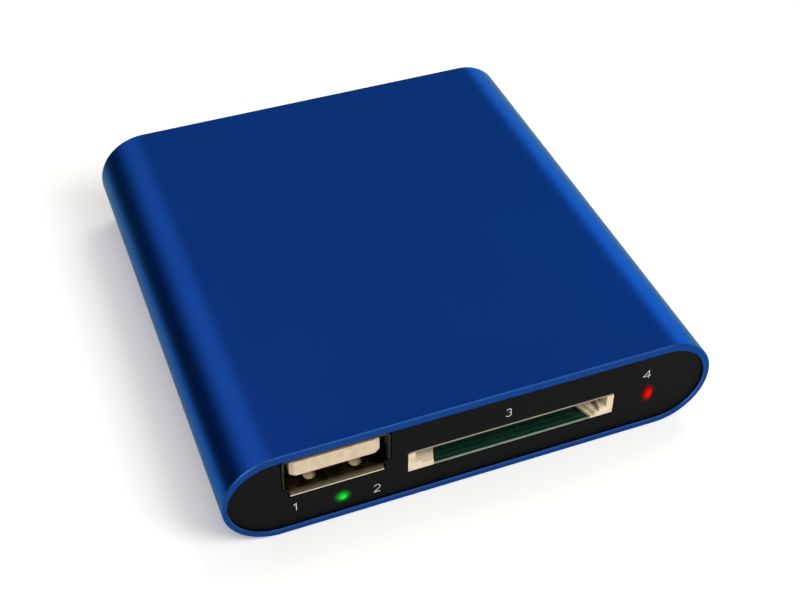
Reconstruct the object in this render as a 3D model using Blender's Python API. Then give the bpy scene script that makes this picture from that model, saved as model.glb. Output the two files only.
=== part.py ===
"""Compact media player: an extruded aluminium sleeve closed by two flat panels.

The front panel has a USB port, a memory card slot, a power light and an infrared window. The rear
panel has a video port and two round jacks. Inside are the circuit board and its parts, and the
card socket with its push-push ejector: slider, heart-shaped cam groove, follower pin and spring.

Metres, +Z up, +X to the right of the front panel, which faces -Y. The origin is at the middle of
the underside.
"""
import math

import bmesh
import bpy
from mathutils import Matrix, Vector
from mathutils.geometry import tessellate_polygon

# Sleeve, in metres like every size here
SLEEVE_WIDTH = 0.0650
SLEEVE_HEIGHT = 0.0140
SLEEVE_LENGTH = 0.0676
SLEEVE_WALL = 0.00125
SLEEVE_CHAMFER = 0.0002

# Clearances
PANEL_GAP = 0.00015
SEAT_GAP = 0.00015
BOARD_GAP = 0.0003
RUN_GAP = 0.0001
OVERRUN = 0.0010

# Panels and what holds them
PANEL_RECESS = 0.0004
PANEL_THICKNESS = 0.0012
PORT_SET_BACK = 0.0001
CHANNEL_RADIUS = 0.0021
CHANNEL_BORE_RADIUS = 0.0009
CHANNEL_SLOT = 0.0008
CHANNEL_SINK = 0.00015
PEG_RADIUS = 0.0006
PEG_LENGTH = 0.0030
SCREW_HEAD_RADIUS = 0.0014
SCREW_SHANK_RADIUS = 0.0008
SCREW_LENGTH = 0.0060
SCREW_TIP = 0.0008

# Circuit board and the rails that carry it
BOARD_RISE_SHARE = 0.135
BOARD_THICKNESS = 0.0010
BOARD_EDGE = 0.00215
BOARD_CORNER = 0.0010
RAIL_HEIGHT = 0.0008
RAIL_GRIP_LOWER = 0.0015
RAIL_GRIP_UPPER = 0.0009

# USB port
USB_FROM_LEFT = 0.0144
USB_WIDTH = 0.0131
USB_HEIGHT = 0.00572
USB_CORNER = 0.0006
USB_SHEET = 0.0003
USB_LENGTH = 0.0136
USB_LIP_SIDE = 0.000225
USB_LIP_TOP = 0.00034
USB_LIP_DEPTH = 0.0006
USB_LIP_SPAN = 0.01192
USB_LIP_RISE = 0.0016
USB_LIP_THINNED = 0.00014
USB_TOP_GAP = 0.00035
USB_TONGUE_WIDTH = 0.01135
USB_TONGUE_SHIFT = 0.00005
USB_TONGUE_HEIGHT = 0.00235
USB_TONGUE_CORNER = 0.0004
USB_TONGUE_BEVEL = 0.0005
USB_TONGUE_BEVEL_DEPTH = 0.0003
USB_TONGUE_RISE = 0.00034
USB_TONGUE_SET_BACK = 0.00035
USB_BLOCK_DEPTH = 0.0050
USB_REAR_BLOCK = 0.0024
USB_FINGER_X = 0.0029
USB_FINGER_WIDTH = 0.0010
USB_FINGER_SLOT = 0.0003
USB_FINGER_TIP = 0.0022
USB_WINDOW_START = 0.00125
USB_WINDOW_LENGTH = 0.0065
USB_LEG_WIDTH = 0.0018
USB_LEG_INSET = 0.00003
USB_LEG_SHARES = (0.3, 0.8)
USB_CONTACT_WIDTH = 0.0010
USB_CONTACT_SHEET = 0.0002
USB_CONTACT_INNER = 0.0010
USB_CONTACT_OUTER = 0.0035

# Memory card socket
SD_FROM_RIGHT = 0.0275
SD_WIDTH = 0.0280
SD_LENGTH = 0.0295
SD_SHEET = 0.00025
SD_FIT_GAP = 0.0001
SD_WALL = 0.0006
SD_FLOOR = 0.0004
SD_CHANNEL_HEIGHT = 0.00283
SD_REAR_WALL = 0.0009
CARD_WIDTH = 0.0240
CARD_SLACK = 0.0001
SD_MOUTH_FRAME = 0.0008
SD_SILL_HEIGHT = 0.00025
SD_SILL_DEPTH = 0.00015
SD_WINDOW_DEPTH = 0.0050
SD_WINDOW_FRONT = 0.0215
SD_WINDOW_REAR = 0.0178
SD_WINDOW_SHIFT = 0.00013
SD_SHELF = 0.0006
SD_STEP = 0.00045
SD_STEP_LENGTH = 0.0120
SD_LEDGE_WIDTH = 0.0009
SD_LEDGE_RISE = 0.00065
SD_LEDGE_LENGTH = 0.0100
SD_NOSE_LENGTH = 0.0018
SD_NOSE_WIDTH = 0.00095
SD_POCKET_WIDTH = 0.0007
SD_POCKET_START = 0.0004
SD_POCKET_DEPTH = 0.0006
PAD_PITCH = 0.0025
PAD_PITCH_LAST = 0.0017
PAD_EDGE = 0.00285
PAD_CONTACT_WIDTH = 0.0007
PAD_CONTACT_SHEET = 0.00015
PAD_CONTACT_REACH = 0.0053
PAD_CONTACT_CREST = 0.00045
SWITCH_BLADE_HEIGHT = 0.0012
SWITCH_BLADE_SHEET = 0.00015
SWITCH_BLADE_OFFSET = 0.0003
CARD_SWITCH_REACH = 0.0040
LOCK_SWITCH_REACH = 0.0120

# Push-push ejector
EJECT_STROKE = 0.0045
SLIDER_HEIGHT = 0.00185
SLIDER_LUG = 0.0023
SLIDER_LUG_LENGTH = 0.0020
SLIDER_PLAY = 0.0002
CAM_TRACK = 0.00044
CAM_SWING = 0.0005
CAM_DEPTH = 0.0006
CAM_REST = 0.0150
PIN_RADIUS = 0.00015
PIN_RISE = 0.0004
PIN_BEND = 0.0003
PIN_PIVOT_DEPTH = 0.0009
SPRING_RADIUS = 0.0004
SPRING_WIRE_RADIUS = 0.0001
SPRING_TURNS = 11
SPRING_POINTS_PER_TURN = 8
SPRING_TROUGH_RADIUS = 0.0006
SPRING_SEAT = 0.0078
SPRING_PEG_RADIUS = 0.0002
SPRING_PEG_LENGTH = 0.0015
SPRING_PEG_ROOT = 0.00015
LEAF_WIDTH = 0.0008
LEAF_LENGTH = 0.0050
LEAF_SLOT = 0.0002

# Power light and infrared window
LIGHT_FROM_LEFT = 0.01496
LIGHT_RADIUS = 0.0006
LIGHT_FLANGE_RADIUS = 0.0010
LIGHT_FLANGE = 0.0003
LED_WIDTH = 0.0016
LED_DEPTH = 0.0012
LED_HEIGHT = 0.0008
LED_FOOT_WIDTH = 0.0036
LED_FOOT = 0.00025
IR_FROM_RIGHT = 0.00858
IR_RISE = 0.00209
IR_WIDTH = 0.0012
IR_HEIGHT = 0.0021
IR_FLANGE_EDGE = 0.0004
IR_FLANGE = 0.0003
IR_BODY_WIDTH = 0.0050
IR_BODY_DEPTH = 0.0024
IR_BODY_HEIGHT = 0.0058
IR_DOME_RADIUS = 0.0014
IR_DOME_DEPTH = 0.0009

# Video port
HDMI_FROM_LEFT = 0.0235
HDMI_WIDTH = 0.0140
HDMI_HEIGHT = 0.00455
HDMI_DRAW_IN = 0.0018
HDMI_SHOULDER = 0.0020
HDMI_SHEET = 0.0003
HDMI_LENGTH = 0.0108
HDMI_TONGUE_SIDE = 0.00105
HDMI_TONGUE_HEIGHT = 0.0010
HDMI_TONGUE_SET_BACK = 0.0008
HDMI_BLOCK_DEPTH = 0.0030
HDMI_REAR_BLOCK = 0.0018

# Round jacks
AV_FROM_RIGHT = 0.0245
AV_BODY_WIDTH = 0.0062
AV_BODY_HEIGHT = 0.0062
AV_BODY_LENGTH = 0.0116
AV_BARREL_RADIUS = 0.0027
AV_BORE_RADIUS = 0.0018
AV_RING_WALL = 0.0004
AV_RING_LENGTH = 0.0025
AV_BACK_WALL = 0.0012
DC_FROM_RIGHT = 0.0135
DC_BODY_WIDTH = 0.0070
DC_BODY_HEIGHT = 0.0064
DC_BODY_LENGTH = 0.0092
DC_BARREL_RADIUS = 0.0029
DC_BORE_RADIUS = 0.0020
DC_PIN_RADIUS = 0.00065
DC_PIN_SET_BACK = 0.0012
DC_BACK_WALL = 0.0016

# Parts on the board: where their middles lie, and size along X, Y and Z
PROCESSOR_X = -0.0050
PROCESSOR_SIZE = (0.0105, 0.0105, 0.0012)
MEMORY_X = 0.0075
MEMORY_SIZE = (0.0080, 0.0105, 0.0011)
RIGHT_COLUMN_FROM_RIGHT = 0.0125
REGULATOR_SIZE = (0.0065, 0.0035, 0.0016)
CRYSTAL_SIZE = (0.0050, 0.0032, 0.0011)
COLUMN_SPACE = 0.0018
LEFT_COLUMN_FROM_LEFT = 0.0092
INDUCTOR_FROM_REAR = 0.0100
INDUCTOR_SIZE = (0.0060, 0.0060, 0.0028)
FLASH_FROM_REAR = 0.0170
FLASH_SIZE = (0.0060, 0.0050, 0.0016)
CHIP_BEVEL = 0.0002
CHIP_BODY_RISE = 0.0002
CHIP_LEG_REACH = 0.0008
CHIP_LEG_WIDTH = 0.0004
CAPACITOR_RADIUS = 0.0020
CAPACITOR_HEIGHT = 0.0030
CAPACITOR_BASE = 0.0006
CAPACITOR_GROOVE = 0.00015
CAPACITOR_FROM_FRONT = 0.0206
CAPACITOR_STEP = 0.0048
CAPACITOR_COUNT = 3

# Counts for round stretches
END_STEPS = 20
CORNER_STEPS = 3
ROUND_SIDES = 20
BORE_SIDES = 16
CHANNEL_STEPS = 14
BEND_STEPS = 3
CAM_STEPS = 6
SMOOTH_ANGLE = math.radians(35)

# Worked out from the sizes above
front_y = -SLEEVE_LENGTH / 2
rear_y = SLEEVE_LENGTH / 2
middle_z = SLEEVE_HEIGHT / 2
inner_width = SLEEVE_WIDTH - 2 * SLEEVE_WALL
inner_height = SLEEVE_HEIGHT - 2 * SLEEVE_WALL
board_width = inner_width - 2 * BOARD_EDGE
board_bottom = SLEEVE_WALL + inner_height * BOARD_RISE_SHARE
board_top = board_bottom + BOARD_THICKNESS
part_bottom = board_top + SEAT_GAP
panel_depth = PANEL_RECESS + PANEL_THICKNESS
channel_x = inner_width / 2 - CHANNEL_RADIUS + CHANNEL_SINK
channel_start = panel_depth + SEAT_GAP
board_start = panel_depth + BOARD_GAP

usb_x = USB_FROM_LEFT - SLEEVE_WIDTH / 2
light_x = LIGHT_FROM_LEFT - SLEEVE_WIDTH / 2
sd_x = SLEEVE_WIDTH / 2 - SD_FROM_RIGHT
ir_x = SLEEVE_WIDTH / 2 - IR_FROM_RIGHT
hdmi_x = HDMI_FROM_LEFT - SLEEVE_WIDTH / 2
hdmi_lower_width = HDMI_WIDTH - 2 * HDMI_DRAW_IN
hdmi_tongue_width = HDMI_WIDTH - 2 * HDMI_TONGUE_SIDE
av_x = SLEEVE_WIDTH / 2 - AV_FROM_RIGHT
dc_x = SLEEVE_WIDTH / 2 - DC_FROM_RIGHT

usb_lip_top = SLEEVE_HEIGHT - SLEEVE_WALL - USB_TOP_GAP
usb_z = usb_lip_top - USB_LIP_TOP - USB_HEIGHT / 2
usb_inner_width = USB_WIDTH - 2 * USB_SHEET
usb_inner_height = USB_HEIGHT - 2 * USB_SHEET
usb_tongue_top = usb_z + usb_inner_height / 2 - USB_TONGUE_RISE
usb_tongue_x = usb_x - USB_TONGUE_SHIFT
usb_tongue_z = usb_tongue_top - USB_TONGUE_HEIGHT / 2
usb_tongue_bottom = usb_tongue_top - USB_TONGUE_HEIGHT
usb_rear = PANEL_RECESS + USB_LENGTH

sd_front = PANEL_RECESS + PORT_SET_BACK
sd_rear = sd_front + SD_LENGTH
sd_bottom = board_top + BOARD_GAP
sd_floor_top = sd_bottom + SD_FLOOR
sd_cover_bottom = sd_floor_top + SD_CHANNEL_HEIGHT
sd_top = sd_cover_bottom + SD_SHEET
sd_base_left = sd_x - SD_WIDTH / 2 + SD_SHEET + SD_FIT_GAP
sd_base_right = sd_x + SD_WIDTH / 2 - SD_SHEET - SD_FIT_GAP
card_left = sd_base_left + SD_WALL
card_right = card_left + CARD_WIDTH + 2 * CARD_SLACK
sd_rear_inner = sd_rear - SD_REAR_WALL

slider_left = card_right + RUN_GAP
slider_right = sd_base_right - SD_WALL - RUN_GAP
slider_x = (slider_left + slider_right) / 2
slider_bottom = sd_floor_top + RUN_GAP
slider_top = slider_bottom + SLIDER_HEIGHT
slider_front = sd_front + SD_NOSE_LENGTH + SLIDER_PLAY
slider_rear = sd_rear_inner - SLIDER_PLAY - EJECT_STROKE
spring_front = slider_rear - SPRING_SEAT
spring_z = slider_bottom + SPRING_TROUGH_RADIUS
pin_z = slider_top + PIN_RISE
pin_pivot = sd_rear_inner + SD_REAR_WALL / 2
pin_tip = sd_front + CAM_REST

light_z = board_bottom + BOARD_THICKNESS / 2
ir_z = board_top + IR_RISE
hdmi_z = part_bottom + HDMI_SHEET + HDMI_HEIGHT / 2
av_z = part_bottom + AV_BODY_HEIGHT / 2
dc_z = part_bottom + DC_BODY_HEIGHT / 2


def from_front(depth):
    """World Y of a point that lies this deep behind the sleeve's front plane."""
    return front_y + depth


def from_rear(depth):
    """World Y of a point that lies this deep behind the sleeve's rear plane."""
    return rear_y - depth


# Outlines in two dimensions
def arc(centre, radius, start, end, steps):
    """Points of a round stretch, angles in radians."""
    points = []
    for step in range(steps + 1):
        angle = start + (end - start) * step / steps
        points.append((centre[0] + radius * math.cos(angle), centre[1] + radius * math.sin(angle)))
    return points


def circle(centre, radius, sides=BORE_SIDES):
    return arc(centre, radius, 0.0, math.tau, sides)[:-1]


def stadium(width, height, centre=(0.0, 0.0), steps=END_STEPS):
    """A bar with full-round ends, lying along its first axis."""
    radius = height / 2
    reach = width / 2 - radius
    right = arc((centre[0] + reach, centre[1]), radius, -math.pi / 2, math.pi / 2, steps)
    left = arc((centre[0] - reach, centre[1]), radius, math.pi / 2, 3 * math.pi / 2, steps)
    return right + left


def upright(points):
    """The same outline with its two axes swapped."""
    return [(v, u) for u, v in reversed(points)]


def rectangle(low_u, low_v, high_u, high_v):
    return [(low_u, low_v), (high_u, low_v), (high_u, high_v), (low_u, high_v)]


def rounded_rectangle(width, height, radius, centre=(0.0, 0.0), steps=CORNER_STEPS):
    points = []
    for quarter, (side_u, side_v) in enumerate(((1, 1), (-1, 1), (-1, -1), (1, -1))):
        corner = (centre[0] + side_u * (width / 2 - radius), centre[1] + side_v * (height / 2 - radius))
        start = quarter * math.pi / 2
        points += arc(corner, radius, start, start + math.pi / 2, steps)
    return points


def open_ring(centre, radius, bore, slot):
    """A ring with a slot through its wall on the side of the first axis's negative end."""
    outer_gap = math.asin(slot / 2 / radius)
    inner_gap = math.asin(slot / 2 / bore)
    outer = arc(centre, radius, -math.pi + outer_gap, math.pi - outer_gap, CHANNEL_STEPS)
    inner = arc(centre, bore, math.pi - inner_gap, -math.pi + inner_gap, CHANNEL_STEPS)
    return outer + inner


def normal_offsets(points, closed):
    """For each point, the step that moves both lines that meet there one unit to their right."""
    offsets = []
    count = len(points)
    for index in range(count):
        sides = []
        for first, second in ((index - 1, index), (index, index + 1)):
            if closed or (first >= 0 and second < count):
                start = Vector(points[first % count])
                along = (Vector(points[second % count]) - start).normalized()
                sides.append(Vector((along.y, -along.x)))
        middle = (sides[0] + sides[-1]).normalized()
        offsets.append(middle / middle.dot(sides[0]))
    return offsets


def grown(points, distance):
    """A closed outline, listed anticlockwise, moved outwards by a distance."""
    offsets = normal_offsets(points, True)
    return [tuple(Vector(point) + step * distance) for point, step in zip(points, offsets)]


def strip(points, thickness):
    """The edge-on outline of sheet that follows an open line."""
    offsets = normal_offsets(points, False)
    right = [tuple(Vector(point) + step * thickness / 2) for point, step in zip(points, offsets)]
    left = [tuple(Vector(point) - step * thickness / 2) for point, step in zip(points, offsets)]
    return right + left[::-1]


def bent(points, radius, steps=BEND_STEPS):
    """An open line whose inner corners are rounded by a curve that starts a radius away."""
    line = [Vector(points[0])]
    for before, corner, after in zip(points, points[1:], points[2:]):
        corner = Vector(corner)
        start = corner + (Vector(before) - corner).normalized() * radius
        end = corner + (Vector(after) - corner).normalized() * radius
        for step in range(steps + 1):
            share = step / steps
            line.append(start.lerp(corner, share).lerp(corner.lerp(end, share), share))
    line.append(Vector(points[-1]))
    return [tuple(point) for point in line]


# Solids
PLANE_POINTS = {
    "XZ": lambda u, v, w: (u, w, v),
    "XY": lambda u, v, w: (u, v, w),
    "YZ": lambda u, v, w: (w, u, v),
}


def add_loft(bm, sections, plane):
    """Join outlines of equal point counts, the first loop round the solid, the others its holes."""
    place = PLANE_POINTS[plane]
    rings = []
    for position, loops in sections:
        rings.append([[bm.verts.new(place(u, v, position)) for u, v in loop] for loop in loops])
    for before, after in zip(rings, rings[1:]):
        for loop_before, loop_after in zip(before, after):
            for index in range(len(loop_before)):
                following = (index + 1) % len(loop_before)
                bm.faces.new((loop_before[index], loop_before[following],
                              loop_after[following], loop_after[index]))
    for ring, (_, loops) in ((rings[0], sections[0]), (rings[-1], sections[-1])):
        if len(ring) == 2 and len(ring[0]) == len(ring[1]):
            outer, inner = ring
            for index in range(len(outer)):
                following = (index + 1) % len(outer)
                bm.faces.new((outer[index], outer[following], inner[following], inner[index]))
            continue
        flat = [[Vector((u, v, 0.0)) for u, v in loop] for loop in loops]
        corners = [vertex for loop in ring for vertex in loop]
        for triangle in tessellate_polygon(flat):
            bm.faces.new([corners[index] for index in triangle])


def add_prism(bm, loops, plane, start, end):
    add_loft(bm, [(start, loops), (end, loops)], plane)


def add_turned(bm, profile, centre, direction, sides=ROUND_SIDES, ring=False):
    """Turn (radius, distance along) points round a line, from the centre along a direction."""
    along = Vector(direction).normalized()
    across = along.orthogonal().normalized()
    side = along.cross(across)
    rings = []
    for radius, distance in profile:
        middle = Vector(centre) + along * distance
        if radius == 0:
            rings.append([bm.verts.new(middle)])
            continue
        angles = [math.tau * index / sides for index in range(sides)]
        rings.append([bm.verts.new(middle + (across * math.cos(a) + side * math.sin(a)) * radius)
                      for a in angles])
    pairs = list(zip(rings, rings[1:]))
    if ring:
        pairs.append((rings[-1], rings[0]))
    for before, after in pairs:
        for index in range(sides):
            following = index + 1
            corners = (before[index % len(before)], before[following % sides % len(before)],
                       after[following % sides % len(after)], after[index % len(after)])
            bm.faces.new(list(dict.fromkeys(corners)))


def material(name, colour, roughness, metallic=0.0, alpha=1.0):
    """A Principled material, its colour written as on a screen."""
    made = bpy.data.materials.new(name)
    made.use_nodes = True
    shader = made.node_tree.nodes["Principled BSDF"]
    linear = [channel / 12.92 if channel <= 0.04045 else ((channel + 0.055) / 1.055) ** 2.4
              for channel in colour]
    shader.inputs["Base Color"].default_value = (*linear, 1.0)
    shader.inputs["Roughness"].default_value = roughness
    shader.inputs["Metallic"].default_value = metallic
    shader.inputs["Alpha"].default_value = alpha
    return made


def finish(name, bm, finish_material=None, origin=(0.0, 0.0, 0.0)):
    """Turn modelled faces into an object of the player, with its origin where it is wanted."""
    bmesh.ops.recalc_face_normals(bm, faces=bm.faces)
    mesh = bpy.data.meshes.new(name)
    bm.to_mesh(mesh)
    bm.free()
    mesh.transform(Matrix.Translation(-Vector(origin)))
    mesh.shade_smooth()
    mesh.set_sharp_from_angle(angle=SMOOTH_ANGLE)
    made = bpy.data.objects.new(name, mesh)
    made.location = origin
    bpy.context.scene.collection.objects.link(made)
    if finish_material:
        mesh.materials.append(finish_material)
        made.parent = player
    return made


def combine(target, bm, operation):
    """Add a hidden tool body to a piece with a Boolean: DIFFERENCE cuts it out, UNION joins it."""
    tool = finish(f"{target.name}_tool", bm)
    tool.hide_render = True
    tool.display_type = "WIRE"
    modifier = target.modifiers.new(operation.lower(), "BOOLEAN")
    modifier.operation = operation
    modifier.object = tool


def cut(target, loops, plane, start, end):
    bm = bmesh.new()
    add_prism(bm, loops, plane, start, end)
    combine(target, bm, "DIFFERENCE")


def join(target, loops, plane, start, end):
    bm = bmesh.new()
    add_prism(bm, loops, plane, start, end)
    combine(target, bm, "UNION")


def piece(name, finish_material, loops, plane, start, end, origin=(0.0, 0.0, 0.0)):
    bm = bmesh.new()
    add_prism(bm, loops, plane, start, end)
    return finish(name, bm, finish_material, origin)


def wire(name, finish_material, points, radius, origin, resolution):
    """A round wire: a curve with filled ends through points given in world coordinates."""
    curve = bpy.data.curves.new(name, "CURVE")
    curve.dimensions = "3D"
    curve.bevel_depth = radius
    curve.bevel_resolution = resolution
    curve.use_fill_caps = True
    spline = curve.splines.new("POLY")
    spline.points.add(len(points) - 1)
    for spline_point, point in zip(spline.points, points):
        spline_point.co = (*(Vector(point) - Vector(origin)), 1.0)
    made = bpy.data.objects.new(name, curve)
    made.location = origin
    bpy.context.scene.collection.objects.link(made)
    curve.materials.append(finish_material)
    made.parent = player
    return made


# Sleeve
def wall_middle_x(height):
    """Half width of the sleeve's wall, at the middle of its thickness, at this height."""
    centre = (SLEEVE_WIDTH - SLEEVE_HEIGHT) / 2
    radius = (SLEEVE_HEIGHT - SLEEVE_WALL) / 2
    return centre + math.sqrt(max(radius ** 2 - (height - middle_z) ** 2, 0.0))


def rail_outline(inner_x, low, high):
    """A rib on the sleeve's right inner wall, from its free edge into the wall."""
    middle = (low + high) / 2
    into_wall = [(wall_middle_x(height), height) for height in (low, middle, high)]
    return [(inner_x, high), (inner_x, low)] + into_wall


def make_sleeve():
    def outline(grow):
        """The wall's two outlines, each a little into the metal at the chamfered ends."""
        outer = stadium(SLEEVE_WIDTH - 2 * grow, SLEEVE_HEIGHT - 2 * grow, (0.0, middle_z))
        inner = stadium(inner_width + 2 * grow, inner_height + 2 * grow, (0.0, middle_z))
        return [outer, inner]

    bm = bmesh.new()
    add_loft(bm, [(front_y, outline(SLEEVE_CHAMFER)),
                  (from_front(SLEEVE_CHAMFER), outline(0.0)),
                  (from_rear(SLEEVE_CHAMFER), outline(0.0)),
                  (rear_y, outline(SLEEVE_CHAMFER))], "XZ")
    sleeve = finish("sleeve", bm, blue_metal)

    board_edge = board_width / 2
    lower_top = board_bottom - BOARD_GAP
    lower = rail_outline(board_edge - RAIL_GRIP_LOWER, lower_top - RAIL_HEIGHT, lower_top)
    upper = rail_outline(board_edge - RAIL_GRIP_UPPER, board_top + BOARD_GAP,
                         middle_z - CHANNEL_RADIUS / 2)
    channel = open_ring((channel_x, middle_z), CHANNEL_RADIUS, CHANNEL_BORE_RADIUS, CHANNEL_SLOT)
    for rib in (lower, upper, channel):
        mirrored = [(-x, z) for x, z in reversed(rib)]
        for outline_points in (rib, mirrored):
            join(sleeve, [outline_points], "XZ", from_front(channel_start), from_rear(channel_start))
    for side in (-1, 1):
        cut(sleeve, [circle((side * channel_x, middle_z), CHANNEL_BORE_RADIUS)], "XZ",
            from_front(channel_start - OVERRUN), from_rear(channel_start - OVERRUN))


# Panels
def panel_outline():
    return stadium(inner_width - 2 * PANEL_GAP, inner_height - 2 * PANEL_GAP, (0.0, middle_z))


def usb_cut_out():
    """The notch round the USB port's lips, stepped at its lower corners and open at the top."""
    side = USB_WIDTH / 2 + USB_LIP_SIDE + PANEL_GAP
    step = USB_LIP_SPAN / 2 + PANEL_GAP
    bottom = usb_z - USB_HEIGHT / 2 - USB_LIP_TOP - PANEL_GAP
    shoulder = bottom + USB_LIP_RISE
    top = SLEEVE_HEIGHT
    right = [(usb_x + step, bottom), (usb_x + step, shoulder), (usb_x + side, shoulder),
             (usb_x + side, top)]
    left = [(2 * usb_x - x, z) for x, z in reversed(right)]
    return right + left


def make_front_panel():
    panel = piece("front_panel", black_plastic, [panel_outline()], "XZ",
                  from_front(PANEL_RECESS), from_front(panel_depth))
    start = from_front(PANEL_RECESS - OVERRUN)
    end = from_front(panel_depth + OVERRUN)
    cut(panel, [usb_cut_out()], "XZ", start, end)
    side = USB_WIDTH / 2 + PANEL_GAP
    cut(panel, [rectangle(usb_x - side, usb_z - USB_HEIGHT / 2 - PANEL_GAP, usb_x + side, usb_z)],
        "XZ", from_front(PANEL_RECESS + USB_LIP_DEPTH - PANEL_GAP), end)
    sd_slot = rectangle(sd_x - SD_WIDTH / 2, sd_bottom, sd_x + SD_WIDTH / 2, sd_top)
    cut(panel, [grown(sd_slot, SD_FIT_GAP)], "XZ", start, end)
    cut(panel, [circle((light_x, light_z), LIGHT_RADIUS + SD_FIT_GAP)], "XZ", start, end)
    cut(panel, [grown(ir_outline(0.0), SD_FIT_GAP)], "XZ", start, end)
    for side in (-1, 1):
        join(panel, [circle((side * channel_x, middle_z), PEG_RADIUS)], "XZ",
             from_front(panel_depth - PANEL_THICKNESS / 2), from_front(panel_depth + PEG_LENGTH))


def make_rear_panel():
    panel = piece("rear_panel", black_plastic, [panel_outline()], "XZ",
                  from_rear(panel_depth), from_rear(PANEL_RECESS))
    start = from_rear(panel_depth + OVERRUN)
    end = from_rear(PANEL_RECESS - OVERRUN)
    cut(panel, [grown(hdmi_outline(), HDMI_SHEET + PANEL_GAP)], "XZ", start, end)
    for x, z, radius in ((av_x, av_z, AV_BARREL_RADIUS), (dc_x, dc_z, DC_BARREL_RADIUS)):
        cut(panel, [circle((x, z), radius + PANEL_GAP, ROUND_SIDES)], "XZ", start, end)
    for side in (-1, 1):
        bm = bmesh.new()
        add_turned(bm, screw_profile(PANEL_GAP / 2, panel_depth + OVERRUN, OVERRUN, 0.0),
                   (side * channel_x, from_rear(PANEL_RECESS + PORT_SET_BACK), middle_z), (0, -1, 0))
        combine(panel, bm, "DIFFERENCE")


def screw_profile(gap, length, head_run, tip):
    """Countersunk screw, or the hole for it: distances run inwards from the panel's outer face."""
    cone = SCREW_HEAD_RADIUS - SCREW_SHANK_RADIUS
    return [(0.0, -head_run), (SCREW_HEAD_RADIUS + gap, -head_run), (SCREW_HEAD_RADIUS + gap, 0.0),
            (SCREW_SHANK_RADIUS + gap, cone), (SCREW_SHANK_RADIUS + gap, length - tip),
            (0.0, length)]


def make_rear_screws():
    for side, word in ((-1, "left"), (1, "right")):
        bm = bmesh.new()
        profile = screw_profile(0.0, SCREW_LENGTH, 0.0, SCREW_TIP)
        add_turned(bm, profile[:1] + profile[2:],
                   (side * channel_x, from_rear(PANEL_RECESS + PORT_SET_BACK), middle_z), (0, -1, 0))
        finish(f"rear_screw_{word}", bm, dark_steel,
               (side * channel_x, from_rear(PANEL_RECESS + PORT_SET_BACK), middle_z))


# Circuit board
def make_board():
    length = SLEEVE_LENGTH - 2 * board_start
    outline = rounded_rectangle(board_width, length, BOARD_CORNER)
    board = piece("main_board", green_board, [outline], "XY", board_bottom, board_top)
    notch = LIGHT_FLANGE_RADIUS + BOARD_GAP
    back = board_start + LIGHT_FLANGE + LED_DEPTH + 2 * BOARD_GAP
    cut(board, [rectangle(light_x - notch, front_y, light_x + notch, from_front(back))], "XY",
        board_bottom - OVERRUN, board_top + OVERRUN)


# USB port
def make_usb_shell():
    def tube(side, top, thinned):
        """The shell's two outlines, spread by the flare, its side lips thinned at their edge."""
        outer = rounded_rectangle(USB_WIDTH + 2 * side, USB_HEIGHT + 2 * top, USB_CORNER,
                                  (usb_x, usb_z))
        inner = rounded_rectangle(usb_inner_width + 2 * (side + thinned),
                                  usb_inner_height + 2 * top, USB_CORNER - USB_SHEET,
                                  (usb_x, usb_z))
        return [outer, inner]

    bm = bmesh.new()
    add_loft(bm, [(from_front(PANEL_RECESS), tube(USB_LIP_SIDE, USB_LIP_TOP, USB_LIP_THINNED)),
                  (from_front(PANEL_RECESS + USB_LIP_DEPTH), tube(0.0, 0.0, 0.0)),
                  (from_front(usb_rear), tube(0.0, 0.0, 0.0))], "XZ")
    shell = finish("usb_shell", bm, bright_steel)

    bm = bmesh.new()
    reach = USB_WIDTH / 2 + USB_LIP_SIDE + OVERRUN
    lip_bottom = usb_z - USB_HEIGHT / 2 - USB_LIP_TOP
    for side_x in (-1, 1):
        xs = sorted((usb_x + side_x * USB_LIP_SPAN / 2, usb_x + side_x * reach))
        add_prism(bm, [rectangle(xs[0], lip_bottom - OVERRUN, xs[1], lip_bottom + USB_LIP_RISE)],
                  "XZ", from_front(PANEL_RECESS - OVERRUN), from_front(PANEL_RECESS + USB_LIP_DEPTH))
    combine(shell, bm, "DIFFERENCE")

    bm = bmesh.new()
    for side_x in (-1, 1):
        for low, high in ((usb_z - USB_HEIGHT / 2 - OVERRUN, usb_z - USB_HEIGHT / 2 + USB_SHEET
                           + USB_FINGER_SLOT),
                          (usb_z + USB_HEIGHT / 2 - USB_SHEET - USB_FINGER_SLOT,
                           usb_z + USB_HEIGHT / 2 + OVERRUN)):
            add_prism(bm, [finger_slot(usb_x + side_x * USB_FINGER_X)], "XY", low, high)
    combine(shell, bm, "DIFFERENCE")

    bm = bmesh.new()
    for side_x in (-1, 1):
        outer = usb_x + side_x * USB_WIDTH / 2
        xs = sorted((outer - side_x * USB_LEG_INSET, outer - side_x * (USB_SHEET - USB_LEG_INSET)))
        for leg_share in USB_LEG_SHARES:
            leg_y = from_front(PANEL_RECESS + USB_LENGTH * leg_share)
            add_prism(bm, [rectangle(leg_y - USB_LEG_WIDTH / 2, part_bottom,
                                     leg_y + USB_LEG_WIDTH / 2, usb_z)], "YZ", xs[0], xs[1])
    combine(shell, bm, "UNION")


def finger_slot(middle_x):
    """A round-ended window in the shell that leaves a spring finger standing from its rear edge."""
    finger = USB_FINGER_WIDTH / 2
    slot = finger + USB_FINGER_SLOT
    start = PANEL_RECESS + USB_WINDOW_START
    nose = from_front(start + slot)
    tip = from_front(start + USB_FINGER_TIP + finger)
    back = from_front(start + USB_WINDOW_LENGTH)
    outer = [(middle_x - slot, back)] + arc((middle_x, nose), slot, math.pi, math.tau, BEND_STEPS * 2)
    inner = [(middle_x + finger, back)] + arc((middle_x, tip), finger, math.tau, math.pi,
                                              BEND_STEPS * 2)
    return outer + [(middle_x + slot, back)] + inner + [(middle_x - finger, back)]


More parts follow.
